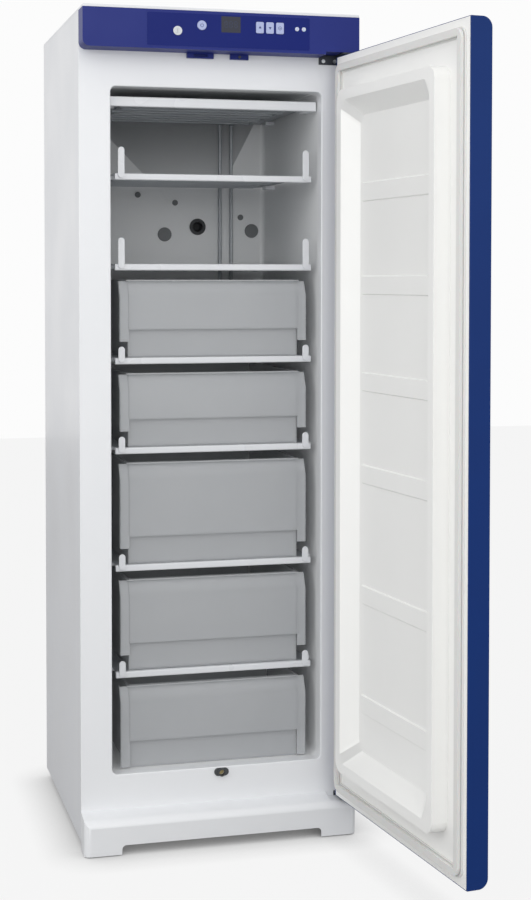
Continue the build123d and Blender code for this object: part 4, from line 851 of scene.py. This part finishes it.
    @staticmethod
    def cut_away(piece: bpy.types.Object, unwanted: Callable[[Vector], bool]) -> None:
        """Delete the vertices of a piece that a test picks, and close the holes."""
        Workshop.activate(piece)
        bpy.ops.object.mode_set(mode="EDIT")
        bpy.ops.mesh.select_all(action="DESELECT")
        bpy.ops.object.mode_set(mode="OBJECT")
        for vertex in piece.data.vertices:
            vertex.select = unwanted(vertex.co)
        bpy.ops.object.mode_set(mode="EDIT")
        bpy.ops.mesh.delete(type="VERT")
        bpy.ops.mesh.select_all(action="SELECT")
        bpy.ops.mesh.fill_holes(sides=0)
        bpy.ops.object.mode_set(mode="OBJECT")

    @staticmethod
    def joined(pieces: list[bpy.types.Object], name: str) -> bpy.types.Object:
        """Join pieces into one and name it."""
        Workshop.clear_selection()
        for piece in pieces:
            piece.select_set(True)
        bpy.context.view_layer.objects.active = pieces[0]
        bpy.ops.object.join()
        return Workshop.settle(bpy.context.object, name)

    @staticmethod
    def stretch(piece: bpy.types.Object, centre: Point, factors: Point) -> None:
        """Stretch a piece about a point, in edit mode."""
        Workshop.activate(piece)
        bpy.ops.object.mode_set(mode="EDIT")
        bpy.ops.mesh.select_all(action="SELECT")
        bpy.ops.transform.resize(
            value=factors, center_override=[value * MM for value in centre]
        )
        bpy.ops.object.mode_set(mode="OBJECT")

    @staticmethod
    def finished(piece: bpy.types.Object, finish: Finish, body: str) -> bpy.types.Object:
        """Smooth and dress a new piece, and let it ride on a body."""
        Workshop.smooth(piece)
        dress(piece, finish)
        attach(piece, body)
        log.info("%s: %d faces", piece.name, len(piece.data.polygons))
        return piece


def dress(piece: bpy.types.Object, finish: Finish) -> None:
    """Give a piece one finish all over.

    Args:
        piece: The piece.
        finish: Its finish.
    """
    piece.data.materials.clear()
    piece.data.materials.append(finish.material())


@dataclass
class CarriedPieces:
    """The CAD nodes: smooth-shaded copies with rounded edges where they show, and finishes."""

    finishes: dict[str, Finish] = field(default_factory=lambda: dict(CAD_FINISHES))
    rounds_mm: dict[str, float] = field(default_factory=lambda: dict(EDGE_ROUNDS_MM))

    def build(self) -> None:
        """Dress every node and replace those whose edges show by rounded copies."""
        for node, finish in self.finishes.items():
            dress(frame["nodes"][node], finish)
            if node in self.rounds_mm:
                piece = Workshop.copy_of_node(node, self.rounds_mm[node])
                dress(piece, finish)
                log.info("%s: %d faces", piece.name, len(piece.data.polygons))


@dataclass
class FasciaSymbols:
    """Printed symbols on the keys and the unlit digits behind the display's window.

    Attributes:
        relief: How far ink stands on a key, in millimetres.
        ring_radius: Radius of the round symbols.
        line: Width of a drawn line.
        arrow_radius: Size of the arrows.
        dot_radius: Radius of the dot in the round symbol.
        dot_sides: How many sides stand for its round form.
        edge_round: Width of the rounding on flat symbols.
        fine_round: The same on the power stroke and the digits' segments.
        gap_floor: Height above the key's middle where the power ring opens.
        gap_half: Half of that gap's width.
        stroke_floor: Height above the key's middle where the power stroke starts.
        stroke_rise: How far the stroke ends above the ring's middle line.
        digit_centres: Middles of the three digits, across the window.
        digit_half_width: Half of a digit's width.
        digit_half_height: Half of a digit's height.
        segment_half: Half of a segment's thickness.
        segment_gap: How much shorter than its side of the digit half a segment is.
    """

    relief: float = 0.12
    ring_radius: float = 3.4
    line: float = 0.9
    arrow_radius: float = 3.6
    dot_radius: float = 1.0
    dot_sides: int = 24
    edge_round: float = 0.06
    fine_round: float = 0.05
    gap_floor: float = 1.6
    gap_half: float = 1.7
    stroke_floor: float = 0.6
    stroke_rise: float = 1.0
    digit_centres: tuple[float, float, float] = (4.5, 15.0, 25.5)
    digit_half_width: float = 3.0
    digit_half_height: float = 6.5
    segment_half: float = 0.6
    segment_gap: float = 0.5

    def face(self, node: str) -> Point:
        """Return the middle of a node's front face, in millimetres."""
        low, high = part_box(node)
        return (
            (low[0] + high[0]) / 2 / MM,
            low[1] / MM,
            (low[2] + high[2]) / 2 / MM,
        )

    def flat_ring(self, centre: Point, name: str) -> bpy.types.Object:
        """Return a ring as flat as ink."""
        ring = Workshop.ring(name, centre, self.ring_radius, self.line)
        Workshop.stretch(ring, centre, (1.0, 2 * self.relief / self.line, 1.0))
        return ring

    def print_power(self) -> None:
        """Print the open ring with its stroke on the power key."""
        x, y, z = self.face("power_button")
        ring = self.flat_ring((x, y, z), "power_ring")
        floor, side = (z + self.gap_floor) * MM, self.gap_half * MM
        Workshop.cut_away(ring, lambda at: at.z > floor and abs(at.x - x * MM) < side)
        half = self.line / 2
        stroke = Workshop.block(
            "power_stroke",
            (x - half, y - self.relief, z + self.stroke_floor),
            (x + half, y + self.relief, z + self.ring_radius + self.stroke_rise),
            self.fine_round,
        )
        symbol = Workshop.joined([ring, stroke], "power_symbol")
        Workshop.finished(symbol, SYMBOL_INK, "power_button")

    def print_arrow(self, node: str, upwards: bool) -> None:
        """Print an arrow on a key.

        Args:
            node: The key.
            upwards: Whether the arrow points up.
        """
        x, y, z = self.face(node)
        arrow = Workshop.disc(
            f"{node}_symbol",
            (x, y, z),
            self.arrow_radius,
            2 * self.relief,
            sides=3,
            round_mm=self.edge_round,
        )
        heights = [vertex.co.z for vertex in arrow.data.vertices]
        points_up = max(heights) + min(heights) > 2 * z * MM
        if points_up is not upwards:
            Workshop.stretch(arrow, (x, y, z), (-1.0, 1.0, -1.0))
        Workshop.finished(arrow, SYMBOL_INK, node)

    def print_ring(self, node: str) -> None:
        """Print a round symbol with a dot on a key."""
        centre = self.face(node)
        ring = self.flat_ring(centre, "set_ring")
        dot = Workshop.disc(
            "set_dot", centre, self.dot_radius, 2 * self.relief, self.dot_sides, self.edge_round
        )
        Workshop.finished(Workshop.joined([ring, dot], f"{node}_symbol"), SYMBOL_INK, node)

    def set_segment(self, at: Point, level: bool) -> bpy.types.Object:
        """Set one segment of a digit.

        Args:
            at: Its middle, in millimetres.
            level: Whether it lies level or stands upright.

        Returns:
            The segment, pointed at both ends.
        """
        thin = self.segment_half
        segment = Workshop.disc(
            "segment", at, thin, 2 * self.relief, sides=6, round_mm=self.fine_round
        )
        side = self.digit_half_width if level else self.digit_half_height / 2
        slender = (side - self.segment_gap) / thin
        Workshop.stretch(segment, at, (slender, 1.0, 1.0) if level else (1.0, 1.0, slender))
        return segment

    def set_digits(self) -> None:
        """Set three digits of seven segments each on the display's window."""
        _, y, z = self.face("display_window")
        wide, high = self.digit_half_width, self.digit_half_height
        level_places = [(0.0, high), (0.0, 0.0), (0.0, -high)]
        upright_places = [(across, up / 2) for up in (high, -high) for across in (-wide, wide)]
        segments = [
            self.set_segment((centre + across, y, z + up), level)
            for centre in self.digit_centres
            for places, level in ((level_places, True), (upright_places, False))
            for across, up in places
        ]
        Workshop.finished(Workshop.joined(segments, "display_digits"), UNLIT_SEGMENT, "cabinet")

    def build(self) -> None:
        """Print every symbol."""
        self.print_power()
        self.print_arrow("button_1", True)
        self.print_arrow("button_2", False)
        self.print_ring("button_3")
        self.set_digits()


@dataclass
class DrawerFlanges:
    """Folded flanges that carry each drawer's front on towards the side walls.

    Attributes:
        drawers: The drawers, from the highest down.
        reach: How far a flange stands out beside the drawer, in millimetres.
        overlap: How far it is welded over the drawer's side.
        thickness: Thickness of the sheet.
        setback: From the drawer's foremost face to the flange.
        fold: Depth of the fold at the flange's outer edge.
        below: From the drawer's foot to the flange, clear of the shelf's tabs.
        lowest_below: The same on the lowest drawer, which has no tabs beside it.
        above: From the drawer's top to the flange.
        lean_height: Height of the leaning band at the top.
        lean_depth: How far that band leans back.
        edge_round: Width of the rounding on its edges.
        front_slice: Depth of the slice at a drawer's front whose width is measured.
    """

    drawers: tuple[str, ...] = ("drawer_1", "drawer_2", "drawer_3", "drawer_4", "drawer_5")
    reach: float = 19.0
    overlap: float = 1.0
    thickness: float = 2.4
    setback: float = 1.5
    fold: float = 12.0
    below: float = 34.0
    lowest_below: float = 3.0
    above: float = 3.0
    lean_height: float = 33.0
    lean_depth: float = 16.5
    edge_round: float = 0.6
    front_slice: float = 0.5

    def fold_flange(self, node: str, side: int) -> bpy.types.Object:
        """Fold the flange on one side of a drawer.

        Args:
            node: The drawer.
            side: -1 for its left and 1 for its right.

        Returns:
            The flange.
        """
        low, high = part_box(node)
        half = self.half_width(node)
        front = low[1] / MM + self.setback
        lowest = node == self.drawers[-1]
        bottom = low[2] / MM + (self.lowest_below if lowest else self.below)
        bend = high[2] / MM - self.above - self.lean_height
        inner, outer = sorted((side * (half - self.overlap), side * (half + self.reach)))
        edge = sorted((side * (half + self.reach - self.thickness), side * (half + self.reach)))
        plate = self.leaning_strip(
            (inner, front, bottom), (outer, front + self.thickness, bend), f"{node}_plate"
        )
        fold = self.leaning_strip(
            (edge[0], front, bottom), (edge[1], front + self.fold, bend), f"{node}_fold"
        )
        return Workshop.joined([plate, fold], f"{node}_flange")

    def leaning_strip(self, low: Point, high: Point, name: str) -> bpy.types.Object:
        """Raise a strip whose top is drawn on along the drawer's leaning band.

        Args:
            low: Lowest corner of the upright stretch, in millimetres.
            high: Highest corner of the upright stretch.
            name: Name of the strip.

        Returns:
            The strip, with rounded edges.
        """
        strip = Workshop.block(name, low, high)
        Workshop.select_faces(strip, lambda face: face.normal.z > 0.9)
        bpy.ops.mesh.extrude_region_move(
            TRANSFORM_OT_translate={"value": (0.0, self.lean_depth * MM, self.lean_height * MM)}
        )
        bpy.ops.object.mode_set(mode="OBJECT")
        Workshop.round_edges(strip, self.edge_round)
        return strip

    def half_width(self, node: str) -> float:
        """Return half of a drawer's width without its rim, in millimetres."""
        places = [vertex.co for vertex in frame["nodes"][node].data.vertices]
        depth = min(place.y for place in places) + self.front_slice * MM
        return max(place.x for place in places if place.y < depth) / MM

    def build(self) -> None:
        """Fold both flanges of every drawer."""
        for node in self.drawers:
            flanges = [self.fold_flange(node, side) for side in (-1, 1)]
            pair = Workshop.joined(flanges, f"{node}_flanges")
            Workshop.finished(pair, DRAWER_STYRENE, node)


@dataclass
class PortStopper:
    """Rubber stopper in the access port: a plug with a rim and a finger hollow.

    Attributes:
        radius: Radius of the plug, just under the port's bore, in millimetres.
        front: Where its face stands.
        length: How far it reaches into the bore.
        edge_round: Width of the rounding on its edges.
        sides: How many sides stand for its round form.
        rim: Width of the rim round the hollow.
        hollow: Depth of the finger hollow.
    """

    radius: float = 11.8
    front: float = 478.0
    length: float = 34.0
    edge_round: float = 1.2
    sides: int = 48
    rim: float = 3.0
    hollow: float = 6.0

    def build(self) -> None:
        """Shape the stopper from a disc whose face is inset and pushed in."""
        low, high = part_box("access_port")
        x = (low[0] + high[0]) / 2 / MM
        z = (low[2] + high[2]) / 2 / MM
        plug = Workshop.disc(
            "port_stopper",
            (x, self.front + self.length / 2, z),
            self.radius,
            self.length,
            self.sides,
            self.edge_round,
        )
        Workshop.select_faces(plug, lambda face: face.center.y < (self.front + NEAR_MM) * MM)
        bpy.ops.mesh.inset(thickness=self.rim * MM)
        bpy.ops.transform.translate(value=(0.0, self.hollow * MM, 0.0))
        bpy.ops.object.mode_set(mode="OBJECT")
        Workshop.finished(plug, MOUNT_RUBBER, "cabinet")


@dataclass
class CondenserBack:
    """The condenser with a rounded tube, and the louvres pressed in its sheet.

    Attributes:
        tube_round: Width of the rounding on the tube's outer edges, in millimetres.
        tube_segments: How many strips make up that rounding.
        tube_crisp_degrees: Edges sharper than this stay crisp when shaded.
        runs: How many runs the tube has.
        margin: From the sheet's edge to the first run.
        louvre_width: Width of a louvre.
        louvre_rise: How far a louvre stands from the sheet.
        louvre_pitch: From louvre to louvre along a row.
        louvre_gap: Between a louvre's ends and the runs.
        louvre_round: Width of the rounding on a louvre's edges.
        louvre_root: How deep a louvre is rooted in the sheet.
        sheet_back: Where the sheet's outer face is.
    """

    tube_round: float = 2.4
    tube_segments: int = 4
    tube_crisp_degrees: float = 40.0
    runs: int = 15
    margin: float = 30.0
    louvre_width: float = 7.0
    louvre_rise: float = 1.6
    louvre_pitch: float = 16.0
    louvre_gap: float = 8.0
    louvre_round: float = 0.9
    louvre_root: float = 0.4
    sheet_back: float = 555.8

    def round_tube(self) -> None:
        """Replace the condenser by a copy whose tube is rounded."""
        piece = Workshop.copy_of_node("condenser", 0.0)
        outer = max(vertex.co.y for vertex in piece.data.vertices) - NEAR_MM * MM
        Workshop.activate(piece)
        bpy.ops.object.mode_set(mode="EDIT")
        bpy.ops.mesh.select_all(action="DESELECT")
        bpy.ops.mesh.select_mode(type="EDGE")
        bpy.ops.object.mode_set(mode="OBJECT")
        places = piece.data.vertices
        for edge in piece.data.edges:
            edge.select = all(places[index].co.y > outer for index in edge.vertices)
        bpy.ops.object.mode_set(mode="EDIT")
        bpy.ops.mesh.bevel(
            offset=self.tube_round * MM, segments=self.tube_segments, clamp_overlap=True
        )
        bpy.ops.mesh.select_mode(type="VERT")
        bpy.ops.object.mode_set(mode="OBJECT")
        Workshop.smooth(piece, self.tube_crisp_degrees)
        dress(piece, BLACK_ENAMEL)
        log.info("%s: %d faces", piece.name, len(piece.data.polygons))

    def press_louvres(self) -> None:
        """Press rows of louvres between the runs of the tube."""
        low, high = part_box("condenser")
        pitch = ((high[2] - low[2]) / MM - 2 * self.margin) / (self.runs - 1)
        first = low[2] / MM + self.margin
        half = (high[0] - low[0]) / 2 / MM - 2 * self.margin
        count = int(2 * half // self.louvre_pitch) + 1
        start = -(count - 1) / 2 * self.louvre_pitch
        louvre = Workshop.block(
            "condenser_louvres",
            (
                start - self.louvre_width / 2,
                self.sheet_back - self.louvre_root,
                first + self.louvre_gap,
            ),
            (
                start + self.louvre_width / 2,
                self.sheet_back + self.louvre_rise,
                first + pitch - self.louvre_gap,
            ),
            self.louvre_round,
        )
        for steps, offset in (
            (count, (self.louvre_pitch * MM, 0.0, 0.0)),
            (self.runs - 1, (0.0, 0.0, pitch * MM)),
        ):
            Workshop.apply_modifier(
                louvre,
                "ARRAY",
                count=steps,
                use_relative_offset=False,
                use_constant_offset=True,
                constant_offset_displace=offset,
            )
        Workshop.finished(louvre, BLACK_ENAMEL, "cabinet")

    def build(self) -> None:
        """Round the tube and press the louvres."""
        self.round_tube()
        self.press_louvres()


@dataclass(frozen=True)
class SoftBox:
    """A square lamp.

    Attributes:
        name: What it does in the studio.
        place: Where it hangs, in metres.
        target: What it points at.
        size: Edge of its square, in metres.
        watts: Its power.
    """

    name: str
    place: Point
    target: Point
    size: float
    watts: float

    def hang(self) -> None:
        """Hang the lamp and point it."""
        data = bpy.data.lights.new(self.name, "AREA")
        data.shape = "SQUARE"
        data.size = self.size
        data.energy = self.watts
        lamp = bpy.data.objects.new(self.name, data)
        bpy.context.scene.collection.objects.link(lamp)
        lamp.location = self.place
        aim = Vector(self.target) - Vector(self.place)
        lamp.rotation_euler = aim.to_track_quat("-Z", "Y").to_euler()


SOFT_BOXES = (
    SoftBox("key_soft_box", (-0.9, -3.9, 2.7), (0.0, 0.2, 0.8), 3.2, 46.0),
    SoftBox("low_soft_box", (-0.8, -4.4, 1.2), (0.0, 0.2, 1.0), 2.6, 18.0),
    SoftBox("side_soft_box", (-3.4, -1.2, 1.6), (0.2, -0.2, 0.9), 2.8, 26.0),
)


@dataclass
class Studio:
    """Floor, world, lamps and camera.

    Attributes:
        camera_place: Where the photograph was taken from, in metres.
        camera_yaw: Degrees from straight ahead towards the right.
        camera_pitch: Degrees below level.
        focal_px: Focal length in pixels of the photograph.
        centre_px: Where the optical axis meets the photograph, from its top left.
        sensor_mm: Width of the camera's sensor.
        view_end: How far the camera sees, in metres.
        floor_half: Half of the floor's edge, in metres.
        floor_drop: How far the floor lies below the feet, in metres.
        floor_shown: Share of the paper's own white that the camera sees where it lies open.
        painted_shade_reach: How far from the object an occlusion mask darkens the paper, as
            painted contact shade, in metres.
        ambient: Strength of the light from all round.
    """

    camera_place: Point = (-0.8217, -3.3619, 1.2161)
    camera_yaw: float = 14.67
    camera_pitch: float = 2.0
    focal_px: float = 1609.2
    centre_px: tuple[float, float] = (244.2, 335.9)
    sensor_mm: float = 36.0
    view_end: float = 60.0
    floor_half: float = 9.0
    floor_drop: float = 0.0005
    floor_shown: float = 0.92
    painted_shade_reach: float = 0.1
    ambient: float = 0.76

    def build_camera(self) -> None:
        """Set the camera at the photograph's viewpoint."""
        data = bpy.data.cameras.new("camera")
        data.sensor_width = self.sensor_mm
        data.lens = self.focal_px / PHOTO_HEIGHT_PX * self.sensor_mm
        data.shift_x = (PHOTO_WIDTH_PX / 2 - self.centre_px[0]) / PHOTO_HEIGHT_PX
        data.shift_y = (self.centre_px[1] - PHOTO_HEIGHT_PX / 2) / PHOTO_HEIGHT_PX
        data.clip_end = self.view_end
        camera = bpy.data.objects.new("camera", data)
        bpy.context.scene.collection.objects.link(camera)
        camera.location = self.camera_place
        camera.rotation_euler = (
            math.radians(90.0 - self.camera_pitch),
            0.0,
            math.radians(-self.camera_yaw),
        )
        bpy.context.scene.camera = camera

    def build_floor(self) -> None:
        """Lay the pale floor, which keeps the object's shadow, with painted contact shade round
        the object.
        """
        Workshop.clear_selection()
        bpy.ops.mesh.primitive_plane_add(
            size=2 * self.floor_half, location=(0.0, 0.0, -self.floor_drop)
        )
        floor = Workshop.settle(bpy.context.object, "studio_floor")
        material = bpy.data.materials.new("matt_white_paper")
        material.use_nodes = True
        tree = material.node_tree
        tree.nodes.clear()
        output = add_node(tree, "ShaderNodeOutputMaterial")
        matt = add_node(tree, "ShaderNodeBsdfDiffuse", {"Color": linear("a8a8a8")})
        bright = add_node(tree, "ShaderNodeEmission", {"Color": linear("fbfbfb"), "Strength": 1.0})
        rays = add_node(tree, "ShaderNodeLightPath")
        # An occlusion mask turns the paper near the object from its shown white to its matt grey:
        # painted contact shade.
        painted_contact_shade = add_node(
            tree, "ShaderNodeAmbientOcclusion", {"Distance": self.painted_shade_reach}, samples=8
        )
        seen = add_node(
            tree,
            "ShaderNodeMath",
            {},
            {0: rays.outputs["Is Camera Ray"], 1: painted_contact_shade.outputs["AO"]},
            operation="MULTIPLY",
        )
        shown = add_node(
            tree,
            "ShaderNodeMath",
            {1: self.floor_shown},
            {0: seen.outputs[0]},
            operation="MULTIPLY",
        )
        mixed = add_node(
            tree,
            "ShaderNodeMixShader",
            {},
            {0: shown.outputs[0], 1: matt.outputs[0], 2: bright.outputs[0]},
        )
        tree.links.new(mixed.outputs[0], output.inputs["Surface"])
        floor.data.materials.append(material)

    def build_world(self) -> None:
        """Surround the object with soft white light and a white background."""
        world = bpy.data.worlds.new("studio_world")
        bpy.context.scene.world = world
        world.use_nodes = True
        tree = world.node_tree
        tree.nodes.clear()
        output = add_node(tree, "ShaderNodeOutputWorld")
        rays = add_node(tree, "ShaderNodeLightPath")
        camera_or_gloss = add_node(
            tree,
            "ShaderNodeMath",
            {},
            {0: rays.outputs["Is Camera Ray"], 1: rays.outputs["Is Glossy Ray"]},
            operation="MAXIMUM",
        )
        seen = add_node(
            tree,
            "ShaderNodeMath",
            {},
            {0: camera_or_gloss.outputs[0], 1: rays.outputs["Is Transmission Ray"]},
            operation="MAXIMUM",
        )
        ambient = add_node(
            tree, "ShaderNodeBackground", {"Color": linear("ffffff"), "Strength": self.ambient}
        )
        backdrop = add_node(
            tree, "ShaderNodeBackground", {"Color": linear("fcfcfc"), "Strength": 1.0}
        )
        mixed = add_node(
            tree,
            "ShaderNodeMixShader",
            {},
            {0: seen.outputs[0], 1: ambient.outputs[0], 2: backdrop.outputs[0]},
        )
        tree.links.new(mixed.outputs[0], output.inputs["Surface"])

    def build(self) -> None:
        """Build the whole studio."""
        bpy.context.scene.view_settings.view_transform = "Standard"
        self.build_camera()
        self.build_floor()
        self.build_world()
        for soft_box in SOFT_BOXES:
            soft_box.hang()
        log.info("studio built")


def main() -> None:
    """Build every sub-assembly in order."""
    logging.basicConfig(level=logging.INFO, format="%(name)s: %(message)s")
    Studio().build()
    CarriedPieces().build()
    FasciaSymbols().build()
    DrawerFlanges().build()
    PortStopper().build()
    CondenserBack().build()


if __name__ == "__main__":
    main()
